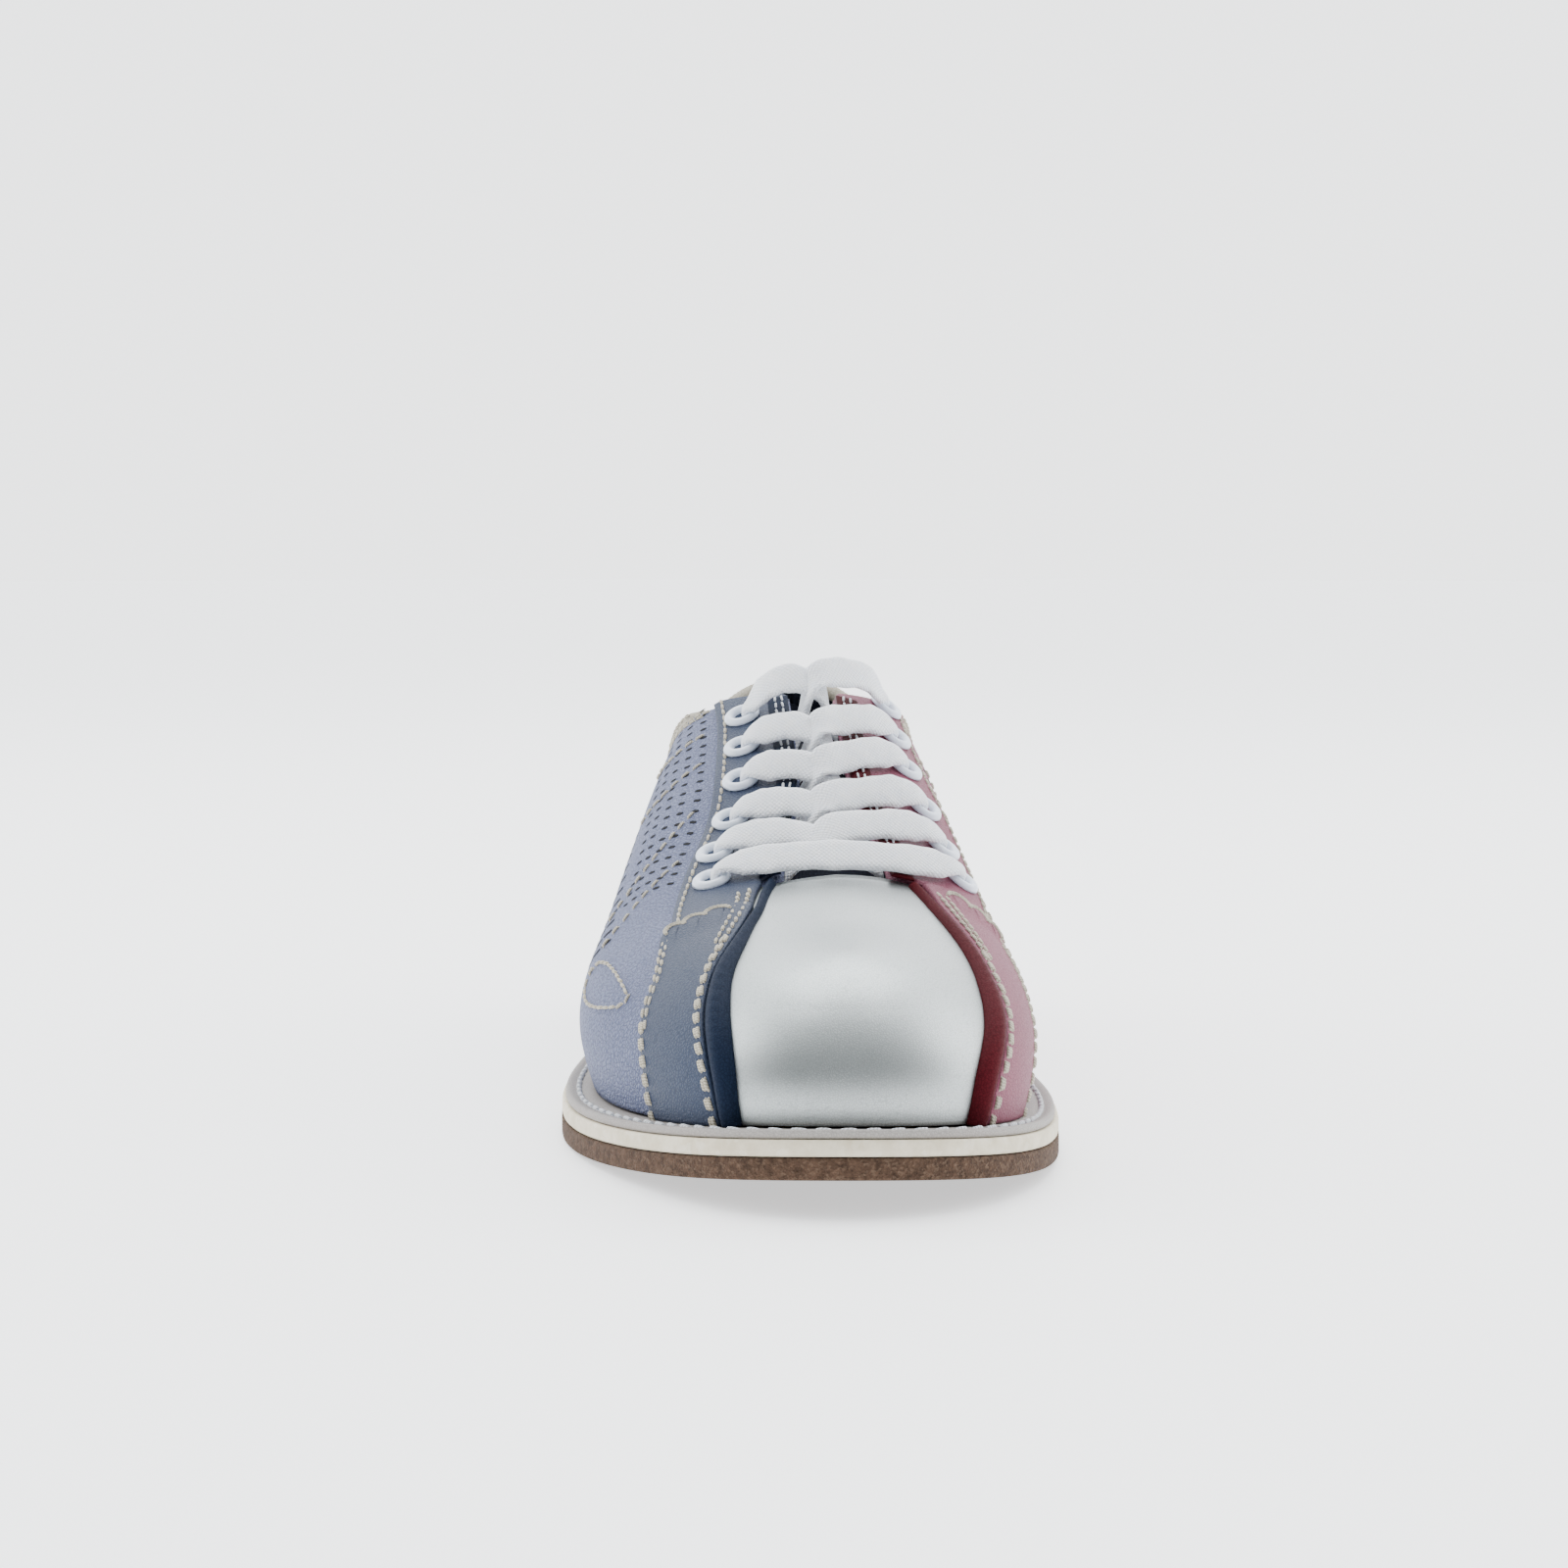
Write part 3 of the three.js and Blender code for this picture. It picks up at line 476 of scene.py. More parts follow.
grainGroup = buildGrainGroup()
weaveGroup = buildWeaveGroup()
rollLeather = {"cells": 1500, "depth": 0.12, "roughness": 0.6, "specular": 0.05, "edgeWear": 0.1}
panelLeather = {"cells": 1300, "depth": 0.3, "roughness": 0.5}
quarterLeather = {"cells": 1000, "depth": 1.0, "valley": 0.9, "roughness": 0.55}
finishes = {
    "silver": leather("silverLeather", "#a7aeae", "#818889", "#b8bdbd", cells=1900, depth=0.08,
                      roughness=0.35, metallic=0.92, edgeWear=0.2, patch=14),
    "navy": leather("navyLeather", "#141e30", "#060b17", "#1b2639", **rollLeather),
    "wine": leather("wineLeather", "#3f0a11", "#230408", "#4b121a", **rollLeather),
    "slate": leather("slateLeather", "#29344b", "#182135", "#333f55", **panelLeather),
    "rose": leather("roseLeather", "#783d4e", "#532633", "#84495b", **panelLeather),
    "lavender": leather("lavenderLeather", "#646c8b", "#454c69", "#737a97", **quarterLeather),
    "pink": leather("pinkLeather", "#985f74", "#73404f", "#a47183", **quarterLeather),
    "beige": leather("beigeLeather", "#a39d8e", "#726b5b", "#b0ab9e",
                     cells=1200, depth=0.2, roughness=0.6),
    "navyCloth": cloth("navyCloth", "#0e111c", "#1d2331"),
    "laceCotton": cloth("laceCotton", "#ebf1fb", "#ffffff",
                        threads=1250, slant=math.pi / 4, depth=0.75, fuzz=0.7),
    "cream": granular("creamMidsole", "#e3dac4", "#cfc4aa", "#ece6d8",
                      scale=600, depth=0.15, roughness=0.6, speckle=0.35),
    "weltGrey": leather("weltLeather", "#9a9491", "#746f6b", "#a6a29e",
                        cells=1600, depth=0.2, roughness=0.65),
    "tan": granular("brownRubber", "#594436", "#37281e", "#7a6655", scale=1900, depth=0.6, speckle=0.3),
    "black": granular("blackRubber", "#24221f", "#121110", "#3a3733", scale=900, depth=0.5),
    "heelLeather": granular("stackedHeel", "#614a38", "#453323", "#765d48",
                            scale=500, depth=0.3, roughness=0.6),
    "cork": granular("cork", "#a8794c", "#6c4827", "#c69a6a", scale=700, depth=0.7),
    "board": granular("insoleBoard", "#b39a6c", "#8a7348", "#c9b48a", scale=1500, depth=0.2),
    "steel": granular("springSteel", "#8d9298", "#6d7278", "#a8adb2",
                      scale=2500, depth=0.05, roughness=0.35, metallic=1.0),
    "stiffener": granular("stiffener", "#d5c9ab", "#b5a886", "#e5dcc4", scale=1400, depth=0.2),
    "eyelet": granular("eyeletEnamel", "#eaf2ff", "#d8e1f1", "#f8feff",
                       scale=400, depth=0.03, roughness=0.28, speckle=0.2, specular=0.5),
    "navySock": granular("sockCloth", "#141825", "#0b0e19", "#232a3b",
                         scale=2200, depth=0.35, roughness=0.95),
    "liningSuede": granular("liningSuede", "#c6bca6", "#a3987f", "#d8d0bd",
                            scale=2600, depth=0.3, roughness=0.9),
    "plastic": granular("aglet", "#e6e6e6", "#cccccc", "#f5f5f5", scale=500, depth=0.05, roughness=0.25),
    "creamThread": threadFinish("creamThread", "#cac4b4", "#938b77"),
    "whiteThread": threadFinish("whiteThread", "#dcdee1", "#a2a7af"),
    "hole": granular("punchedHole", "#12141c", "#08090d", "#1c1f2a", scale=1500, depth=0.2),
}
print("materials ready")


def finish(obj, material, body="shoe", node=None):
    obj.data.materials.clear()
    obj.data.materials.append(finishes[material])
    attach(obj, body)
    if node:
        nodes = (node,) if isinstance(node, str) else node
        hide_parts(*nodes)
    return obj


sole = {"outsole": 4.6, "midsole": (4.75, 8.25), "welt": (8.3, 10.3), "heelStart": 114}


# A slab of the sole from the start angle to the heel. Each row is an inset from the edge
# and a height above the lifted line, and either can be a function.
def soleSlab(name, rows, count=120, start=0.0):
    angle = np.linspace(start, 180, count + 1)
    levels, n = len(rows), count + 1
    points = []
    for inset, height in rows:
        inset = inset(angle) if callable(inset) else np.full_like(angle, inset)
        for side in (-1, 1):
            flat = outline(side * angle, inset)
            z = height(flat[:, 1]) if callable(height) else soleLift(flat[:, 1]) + height
            points.append(np.column_stack([flat, z]))

    def at(level, side, i):
        return (level * 2 + side) * n + i
    faces = []
    for i in range(count):
        for level in range(levels - 1):
            for side, near, far in ((1, i, i + 1), (0, i + 1, i)):
                lower, upper = ([at(row, side, place) for place in (near, far)] for row in (level, level + 1))
                faces.append((*lower, *upper[::-1]))
        faces.append((at(0, 0, i), at(0, 0, i + 1), at(0, 1, i + 1), at(0, 1, i)))
        top = levels - 1
        faces.append((at(top, 1, i), at(top, 1, i + 1), at(top, 0, i + 1), at(top, 0, i)))
    if start > 0:
        for level in range(levels - 1):
            faces.append((at(level, 0, 0), at(level, 1, 0), at(level + 1, 1, 0), at(level + 1, 0, 0)))
    return meshObject(name, np.concatenate(points), faces)


def roundedSide(low, high, radius=0.5, inset=0.0, steps=4):
    turn = np.linspace(0, np.pi / 2, steps)
    rows = [(inset + radius * (1 - math.sin(t)), low + radius * (1 - math.cos(t))) for t in turn]
    return rows + [(inset + radius * (1 - math.cos(t)), high - radius * (1 - math.sin(t))) for t in turn]


# Rows at fixed heights, which the lift of the sole doesn't move.
def levelRows(rows):
    return [(inset, lambda y, height=height: np.full_like(y, height)) for inset, height in rows]


def buildSole():
    bottom = roundedSide(0, sole["outsole"], 0.6)
    finish(soleSlab("outsoleRubber", bottom), "tan", node="outsole")
    middle = roundedSide(*sole["midsole"], 0.7, 0.1)
    finish(soleSlab("midsoleCream", middle), "cream", node="midsole")

    low, high = sole["welt"]
    rows = roundedSide(low, high, 0.8, 0.9)
    # the groove for the stitches, then the flat part under the upper
    rows += [(2.6, high - 0.15), (3.2, high - 0.45), (4.6, high - 0.45), (5.2, high - 0.05)]
    rows += [(14.5, high), (14.5, low)]
    rows.append(rows[0])
    angle = np.linspace(-180, 180, 361)
    rings = []
    for inset, height in rows:
        flat = outline(angle, np.full_like(angle, inset))
        rings.append(np.column_stack([flat, soleLift(flat[:, 1]) + height]))
    levels, n = len(rings), len(angle)
    index = np.arange(levels * n).reshape(levels, n)
    quads = np.stack([index[:-1, :-1], index[:-1, 1:], index[1:, 1:], index[1:, :-1]], -1).reshape(-1, 4)
    finish(meshObject("weltStrip", np.concatenate(rings), quads), "weltGrey", node="welt")

    top = soleSlab("heelTopPiece", levelRows(roundedSide(0, 4, 0.5)), start=sole["heelStart"])
    finish(top, "black", node="heel_top_piece")
    # the stacked lifts of the heel show as fine steps at its side
    lifts = levelRows([(0.5, 4.3)])
    for k in range(9):
        lifts.append((0.25 + 0.12 * (k % 2), lambda y, share=k / 8: mix(4.35, soleLift(y) - 0.35, share)))
    finish(soleSlab("heelBlock", lifts, start=sole["heelStart"]), "heelLeather", node="heel_block")


buildSole()
print("sole built")

seamAngle = {
    -1: profile((0, 40), (0.2, 41), (0.4, 45), (0.6, 53), (0.75, 61), (0.9, 67), (1, 69)),
    1: profile((0, 45), (0.2, 49), (0.4, 56), (0.6, 65), (0.75, 68), (0.9, 69), (1, 69)),
}
panelEdges = {
    -1: {
        "toe": (profile((0, 21), (0.2, 23), (0.4, 29), (0.6, 41), (0.8, 54), (1, 67)),
                profile((0, 0), (0.2, 0.25), (0.4, 0.47), (0.6, 0.72), (0.8, 0.85), (1, 0.915))),
        "roll": (profile((0, 25.5), (0.2, 28), (0.4, 34), (0.6, 45), (0.8, 56), (1, 66.5)),
                 profile((0, 0), (0.2, 0.2), (0.4, 0.42), (0.6, 0.68), (0.8, 0.81), (1, 0.87))),
        "seam": (profile((0, 41.5), (0.3, 42.5), (0.6, 46.5), (0.8, 50), (1, 58)),
                 profile((0, 0), (0.3, 0.2), (0.6, 0.4), (0.8, 0.52), (1, 0.66))),
    },
    1: {
        "toe": (profile((0, 26), (0.2, 29), (0.4, 36), (0.6, 46), (0.8, 58), (1, 68)),
                profile((0, 0), (0.2, 0.22), (0.4, 0.41), (0.6, 0.6), (0.8, 0.77), (1, 0.86))),
        "roll": (profile((0, 31), (0.2, 34.5), (0.4, 42), (0.6, 51), (0.8, 61), (1, 68)),
                 profile((0, 0), (0.2, 0.19), (0.4, 0.37), (0.6, 0.54), (0.8, 0.7), (1, 0.79))),
        "seam": (profile((0, 46.5), (0.3, 50.5), (0.6, 57), (0.8, 61.5), (1, 66.5)),
                 profile((0, 0), (0.3, 0.2), (0.6, 0.38), (0.8, 0.48), (1, 0.58))),
    },
}
facingEdge = {
    -1: profile((60, 0.69), (68, 0.74), (76, 0.775), (86, 0.81), (98, 0.815), (108, 0.79)),
    1: profile((60, 0.6), (70, 0.615), (83, 0.63), (93, 0.7), (104, 0.73), (111, 0.7)),
}
facingFront = {-1: 59.5, 1: 68.5}
wingTopShare = {-1: 0.86, 1: 1.0}
sideName = {-1: "lateral", 1: "medial"}
sideFinish = {
    -1: {"roll": "navy", "wing": "slate", "facing": "slate", "quarter": "lavender"},
    1: {"roll": "wine", "wing": "rose", "facing": "rose", "quarter": "pink"},
}
eyelets = {
    "pairs": 6,
    "bore": 2.2,
    "flange": 4.6,
    "pitch": 6.0,
    -1: (69.6, profile((69, 0.815), (76, 0.825), (86, 0.865), (100, 0.87))),
    1: (74.0, profile((74, 0.715), (86, 0.77), (92, 0.8), (104, 0.805))),
}


def eyeletPlace(side, number):
    first, rise = eyelets[side]
    angle = first + eyelets["pitch"] * number
    return side * angle, float(rise(angle))


def edgeLine(side, key, share):
    angle, rise = panelEdges[side][key]
    return angle(share), rise(share)


# The outer edge of the rolled edge, which narrows towards the throat.
def rollOuter(side, share):
    a, r = edgeLine(side, "toe", share)
    b, s = edgeLine(side, "roll", share)
    wide = mix(0.86, 0.36, smooth(share, 0.35, 0.85))
    return mix(a, b, wide), mix(r, s, wide)


def facingTop(side, angle):
    front = smooth(angle, shape["throatAngle"] - 1.5, shape["throatAngle"] + 2)
    a, r = rollOuter(side, np.linspace(0, 1, 200))
    return mix(np.interp(angle, a, r) - 0.006, topRise(side * angle) - 0.004, front)


# The last angle in front of the collar's corner at which a test holds.
def lastAngle(test):
    angle = np.linspace(90, shape["cornerAngle"], 400)
    return float(angle[test(angle)][-1])


def facingBack(side):
    return lastAngle(lambda angle: topRise(side * angle) - facingEdge[side](angle) > 0.012)


def throatBack(side):
    return lastAngle(lambda angle: riseAtGap(side * angle, throatGap(angle)) - topRise(side * angle) < 0.004)


scallops = {"count": 4, "reach": 1.25, "roundness": 0.6}


def scallop(share):
    return scallops["reach"] * np.abs(np.sin(share * np.pi * scallops["count"])) ** scallops["roundness"]


def buildVamp():
    def cap(u, v):
        turn = 2 * u - 1
        reach = np.where(turn < 0, seamAngle[-1](v), seamAngle[1](v))
        return turn * reach, v
    obj = upperSheet("vampSilver", (150, 60), (150, 60), cap, -layers["leather"], 0.0,
                     rounded=(), open=("top",))
    finish(obj, "silver", node="vamp")


def buildSide(side):
    label = sideName[side]
    shades = sideFinish[side]

    def panel(name, node, shade, *sheet, **edges):
        obj = upperSheet(name + label.title(), *sheet, **edges)
        finish(obj, shades[shade], node=f"{node}_{label}" if node else None)

    def roll(u, v):
        a, r = edgeLine(side, "toe", v)
        b, s = rollOuter(side, v)
        return side * mix(a, b, u), mix(r, s, u)

    def rollTop(u, v):
        pucker = 0.05 * np.sin(v * 190) * u * (1 - u) * 4
        return 0.3 + 2.5 * np.sin(np.pi * np.clip(u, 0, 1)) ** 0.7 * (1 - 0.45 * smooth(v, 0.3, 0.9)) + pucker
    panel("edgeRoll", "edge_roll", "roll", (14, 110), (5, 90), roll, -0.05, rollTop, rounded=())

    def wing(u, v):
        a, r = rollOuter(side, v * wingTopShare[side])
        b, s = edgeLine(side, "seam", v)
        share = mix(0.015, 1, u)
        return side * (mix(a, b, share) + scallop(u) * smooth(v, 0.85, 1)), mix(r, s, share)

    def wingTop(u, v):
        return 1.35 + 0.45 * np.sin(np.pi * np.clip(u, 0, 1)) ** 0.6 + 0.6 * smooth(v, 0.88, 0.97)
    panel("wing", "wing", "wing", (60, 60), (24, 70), wing, -0.05, wingTop, rounded=("right", "top"))

    def facing(u, v):
        angle = mix(facingFront[side], facingBack(side), u)
        return side * angle, mix(facingEdge[side](angle), facingTop(side, angle), v)
    panel("facing", "facing", "facing", (110, 18), (120, 20), facing, -0.05, 1.5)

    def trim(u, v):
        angle = mix(shape["throatAngle"] - 0.6, throatBack(side) - 0.8, u)
        low = riseAtGap(side * angle, throatGap(angle) + 5.4)
        return side * angle, mix(low, topRise(side * angle) - 0.003, v)
    panel("throatTrim", None, "roll", (90, 8), (95, 5.4), trim, 1.3, 2.1, drop=0.4)

    def quarter(u, v):
        rise = v
        for _ in range(4):
            angle = mix(seamAngle[side](rise), 179.9, u)
            rise = v * topRise(side * angle)
        return side * angle, rise
    panel("quarter", "quarter", "quarter", (170, 50), (210, 75), quarter, -layers["leather"], 0.0,
          rounded=("top",))

    def lining(u, v):
        angle = mix(shape["throatAngle"] + 0.3, 179.9, u)
        throat = riseAtGap(side * angle, throatGap(angle) + 0.6)
        return side * angle, v * np.minimum(throat, topRise(side * angle) - 0.002)
    obj = upperSheet(f"quarterLining{label.title()}", (120, 36), (180, 75), lining, liningBack,
                     -layers["leather"] - 0.1, rounded=())
    finish(obj, "navyCloth", node=f"quarter_lining_{label}")


buildVamp()
for side in (-1, 1):
    buildSide(side)
print("upper built")


lace = {
    "width": 8.6, "thick": 2.1, "boreWidth": 3.4, "boreThick": 1.9, "step": 0.7,
    "lean": 24, "lifts": {eyelets["pairs"] - 2: 6.0, eyelets["pairs"] - 3: 1.2}, "nudge": 0.009,
}
throatAngles = np.concatenate([np.arange(-113, -60, 0.1), np.arange(60, 113, 0.1)])
throatRises = np.linspace(0.68, 1, 161)
throatPlaces = face(*np.meshgrid(throatAngles, throatRises, indexing="ij"))


# The angle and rise of the upper under a point seen from above.
def placeBelow(spot):
    apart = np.hypot(throatPlaces[..., 0] - spot[0], throatPlaces[..., 1] - spot[1])
    i, j = np.unravel_index(apart.argmin(), apart.shape)
    return float(throatAngles[i]), float(throatRises[j])


def throughEyelet(side, number):
    angle, rise = eyeletPlace(side, number)
    return angle, rise + lace["nudge"]


# Stops are an angle, a rise, a depth and how far the band narrows, from 0 to 1.
def laceRun(start, number, over):
    first, last = throughEyelet(start, number), throughEyelet(-start, number + 1)
    a, b = (face(np.array(angle), np.array(rise))[:2] for angle, rise in (first, last))
    shares = np.linspace(0.1, 0.9, 81)
    inside = []
    for share in shares:
        angle, rise = placeBelow(mix(a, b, share))
        inside.append(rise > riseAtGap(angle, throatGap(abs(angle))))
    out, back = shares[inside][0], shares[inside][-1]
    lift = lace["lifts"].get(number, 0.0)
    low = liningBack - 0.6

    def at(share, depth, narrow=0.0):
        return (*placeBelow(mix(a, b, share)), depth, narrow)
    return [
        (*first, -3.2, 1.0),
        at(0.07, low - 0.2, 0.7),
        at(out - 0.06, low),
        at(out + 0.04, -1.4 if over else -2.2),
        at(0.5, (4.6 if over else 1.2) + lift),
        at(back, 4.5 + lift),
        at(mix(back, 1, 0.5), 4.5 + lift * 0.6),
        at(mix(back, 1, 0.84), 4.3, 0.45),
        (*last, 3.0, 1.0),
    ]


def laceTail(side):
    angle, rise = throughEyelet(side, eyelets["pairs"] - 1)
    low = liningBack - 1.2
    turn = abs(angle)
    return [
        (angle, rise, -3.2, 1.0),
        (side * turn, rise - 0.022, low - 0.25, 0.6),
        (side * (turn + 0.6), rise - 0.1, low, 0.0),
        (side * (turn + 1.5), rise - 0.24, low, 0.0),
        (side * (turn + 2), rise - 0.36, low, 0.9),
    ]


def laceStops():
    def half(side):
        stops = []
        for number in range(eyelets["pairs"] - 1):
            stops += laceRun(side, number, side < 0)
            side = -side
        return stops + laceTail(side)
    bar = []
    narrowing = {1: 1.0, 0.9: 0.7, 0.74: 0.2}
    for share in (-1, -0.9, -0.74, -0.4, 0, 0.4, 0.74, 0.9, 1):
        side = -1 if share < 0 else 1
        angle, rise = throughEyelet(side, 0)
        flat = abs(share)
        turn = mix(69.4, abs(angle), flat ** 2)
        bar.append((side * turn, mix(1, rise, flat), 3.2 if flat == 1 else 4.5, narrowing.get(flat, 0.0)))
    return half(-1)[::-1] + bar + half(1)


# A curve through the points that doesn't overshoot, and each sample's place among them.
def centripetal(points, step):
    points = np.asarray(points)
    before = 2 * points[0] - points[1]
    after = 2 * points[-1] - points[-2]
    p = np.vstack([before, points, after])
    knots = np.concatenate([[0], np.cumsum(np.linalg.norm(np.diff(p, axis=0), axis=1) ** 0.5)])
    out, places = [], []
    for i in range(1, len(p) - 2):
        count = max(2, int(np.linalg.norm(p[i + 1] - p[i]) / step))
        t = np.linspace(knots[i], knots[i + 1], count, endpoint=False)[:, None]
        t0, t1, t2, t3 = knots[i - 1:i + 3]

        def blend(low, high, a, b):
            return (high - t) / (high - low) * a + (t - low) / (high - low) * b
        a1, a2, a3 = blend(t0, t1, p[i - 1], p[i]), blend(t1, t2, p[i], p[i + 1]), blend(t2, t3, p[i + 1], p[i + 2])
        out.append(blend(t1, t2, blend(t0, t2, a1, a2), blend(t1, t3, a2, a3)))
        places.append(i - 1 + (t[:, 0] - t1) / (t2 - t1))
    out.append(points[-1:])
    places.append(np.array([len(points) - 1.0]))
    return np.vstack(out), np.concatenate(places)


def bandMesh(name, path, wide, width, thick, sides=16, power=3.0):
    tangent = unit(np.gradient(path, axis=0))
    wide = unit(wide - (wide * tangent).sum(1, keepdims=True) * tangent)
    normal = np.cross(tangent, wide)
    turn = np.linspace(0, 2 * np.pi, sides, endpoint=False)
    cx = np.sign(np.cos(turn)) * np.abs(np.cos(turn)) ** (2 / power) / 2
    cy = np.sign(np.sin(turn)) * np.abs(np.sin(turn)) ** (2 / power) / 2
    across = wide[:, None] * (cx[None, :, None] * width[:, None, None])
    rings = path[:, None] + across + normal[:, None] * (cy[None, :, None] * thick[:, None, None])
    n = len(path)
    run = np.concatenate([[0], np.cumsum(np.linalg.norm(np.diff(path, axis=0), axis=1))])
    steps = np.hypot(np.diff(cx * lace["width"]), np.diff(cy * lace["thick"]))
    uvs = np.stack([np.repeat(run, sides), np.tile(np.concatenate([[0], np.cumsum(steps)]), n)], -1)
    return meshObject(name, rings.reshape(-1, 3), tubeFaces(n, sides), uvs), run[-1]


def buildLace():
    stops = laceStops()
    points = np.array([skin(a, r, d) for a, r, d, _ in stops])
    lengthwise = []
    for a, r, _, _ in stops:
        side = -1 if a < 0 else 1
        lengthwise.append(face(a + side * 0.5, r) - face(a - side * 0.5, r))
    lengthwise = unit(np.array(lengthwise))
    outward = np.array([faceNormal(np.array(a), np.array(r)) for a, r, _, _ in stops])
    depths, narrowed = np.array(stops)[:, 2:].T
    leaning = np.radians(lace["lean"]) * smooth(depths, 0.5, 3.5) * (1 - narrowed)
    lengthwise = lengthwise * np.cos(leaning)[:, None] + outward * np.sin(leaning)[:, None]
    path, place = centripetal(points, lace["step"])
    ids = np.arange(len(stops))
    wide = np.column_stack([np.interp(place, ids, lengthwise[:, k]) for k in range(3)])
    narrow = smooth(np.interp(place, ids, [s[3] for s in stops]), 0, 1)
    wobble = 1 + 0.05 * np.sin(place * 4.1) + 0.03 * np.sin(place * 9.7)
    width = mix(lace["width"], lace["boreWidth"], narrow) * wobble
    thick = mix(lace["thick"], lace["boreThick"], narrow) * (2 - wobble)
    obj, length = bandMesh("laceBand", path, wide, width, thick)
    finish(obj, "laceCotton", node="lace")
    print("lace length mm", round(float(length)))


def lathe(rim, segments=36):
    rim = np.array(rim)
    turn = np.linspace(0, 2 * np.pi, segments, endpoint=False)
    radius, height = rim[:, :1], np.repeat(rim[:, 1:], segments, 1)
    points = np.stack([radius * np.cos(turn), radius * np.sin(turn), height], -1)
    index = np.arange(len(rim) * segments).reshape(len(rim), segments)
    return points.reshape(-1, 3), ringQuads(index, np.roll(index, -1, 0))


def buildEyelets():
    bore, flange = eyelets["bore"], eyelets["flange"]
    base = 1.5
    turn = np.linspace(0, np.pi, 9)
    middle, half = (bore + flange) / 2, (flange - bore) / 2
    rim = [(bore, -4), (bore + 0.45, -4), (bore + 0.45, base)]
    rim += [(middle + half * math.cos(t), base + 0.1 + 1.45 * math.sin(t)) for t in turn]
    for side in (-1, 1):
        for number in range(eyelets["pairs"]):
            angle, rise = eyeletPlace(side, number)
            points, faces = lathe(rim)
            normal = faceNormal(np.array(angle), np.array(rise))
            spin = Vector((0, 0, 1)).rotation_difference(Vector(normal)).to_matrix()
            placed = points @ np.array(spin).T + face(np.array(angle), np.array(rise))
            obj = meshObject(f"eyelet{sideName[side].title()}{number + 1}", placed, faces)
            finish(obj, "eyelet", node=f"eyelet_{sideName[side]}_{number + 1}")


buildLace()
buildEyelets()
print("lacing built")


# A lens-shaped stitch, one unit long, whose ends dive into the leather.
def stitchShape(name, flat=False):
    rings, sides = 7, 8
    x = np.linspace(-0.5, 0.5, rings)
    radius = 0.5 * np.sqrt(np.maximum(1 - np.abs(2 * x) ** 6, 0.12))
    sink = 0.1 - 0.5 * np.abs(2 * x) ** 5
    turn = np.linspace(0, 2 * np.pi, sides, endpoint=False)
    height = 0.04 if flat else 1
    y = radius[:, None] * np.cos(turn)
    z = (sink[:, None] * (not flat)) + radius[:, None] * np.sin(turn) * height
    points = np.stack([np.repeat(x[:, None], sides, 1), y, z], -1).reshape(-1, 3) / mm
    around = np.tile(np.arange(sides) / sides, rings)
    uvs = np.stack([np.repeat(x + 0.5, sides), around], -1) / mm
    return meshObject(name, points, tubeFaces(rings, sides), uvs)


# Places a shape at even steps along paths on the leather, facing along the path and out of the surface.
def buildRowTree():
    tree = bpy.data.node_groups.new("sewnRow", "GeometryNodeTree")
    kinds = {"Geometry": "Geometry", "Shape": "Object", "Seed": "Int", "Finish": "Material"}
    for key in ("Geometry", "Shape", "Pitch", "Length", "Width", "Slant", "Looseness", "Seed", "Finish"):
        tree.interface.new_socket(key, in_out="INPUT", socket_type="NodeSocket" + kinds.get(key, "Float"))
    tree.interface.new_socket("Geometry", in_out="OUTPUT", socket_type="NodeSocketGeometry")
    given = tree.nodes.new("NodeGroupInput").outputs
    out = tree.nodes.new("NodeGroupOutput")
    curve = add(tree, "GeometryNodeMeshToCurve", {"Mesh": given["Geometry"]})
    even = add(tree, "GeometryNodeResampleCurve", {"Curve": curve.outputs[0], "Length": given["Pitch"]}, mode="LENGTH")
    up = add(tree, "GeometryNodeInputNamedAttribute", {"Name": "up"}, data_type="FLOAT_VECTOR").outputs[0]
    tangent = add(tree, "GeometryNodeInputTangent").outputs[0]
    upright = add(tree, "FunctionNodeAlignRotationToVector", {"Vector": up}, axis="Z")
    facing = {"Rotation": upright.outputs[0], "Vector": tangent}
    along = add(tree, "FunctionNodeAlignRotationToVector", facing, axis="X", pivot_axis="Z")
    loose = []
    for shift in (0, 1, 2):
        low = times(tree, given["Looseness"], -1.0)
        seed = plus(tree, given["Seed"], float(shift))
        value = add(tree, "FunctionNodeRandomValue", {2: low, 3: given["Looseness"], 8: seed}, data_type="FLOAT")
        loose.append(value.outputs[1])
    angle = plus(tree, given["Slant"], loose[0])
    spin = add(tree, "FunctionNodeAxisAngleToRotation", {"Axis": (0, 0, 1), "Angle": angle})
    turned = add(tree, "FunctionNodeRotateRotation", {0: along.outputs[0], 1: spin.outputs[0]}, rotation_space="LOCAL")
    long = times(tree, given["Length"], plus(tree, 1.0, loose[1]))
    wide = times(tree, given["Width"], plus(tree, 1.0, loose[2]))
    size = add(tree, "ShaderNodeCombineXYZ", {0: long, 1: wide, 2: wide})
    shape = add(tree, "GeometryNodeObjectInfo", {0: given["Shape"]})
    placed = add(tree, "GeometryNodeInstanceOnPoints", {
        "Points": even.outputs[0], "Instance": shape.outputs["Geometry"],
        "Rotation": turned.outputs[0], "Scale": size.outputs[0]})
    real = add(tree, "GeometryNodeRealizeInstances", {0: placed.outputs[0]})
    painted = add(tree, "GeometryNodeSetMaterial", {"Geometry": real.outputs[0], "Material": given["Finish"]})
    tree.links.new(painted.outputs[0], out.inputs[0])
    return tree


rowTree = buildRowTree()
threadShape = stitchShape("threadShape")
slotShape = stitchShape("slotShape", flat=True)


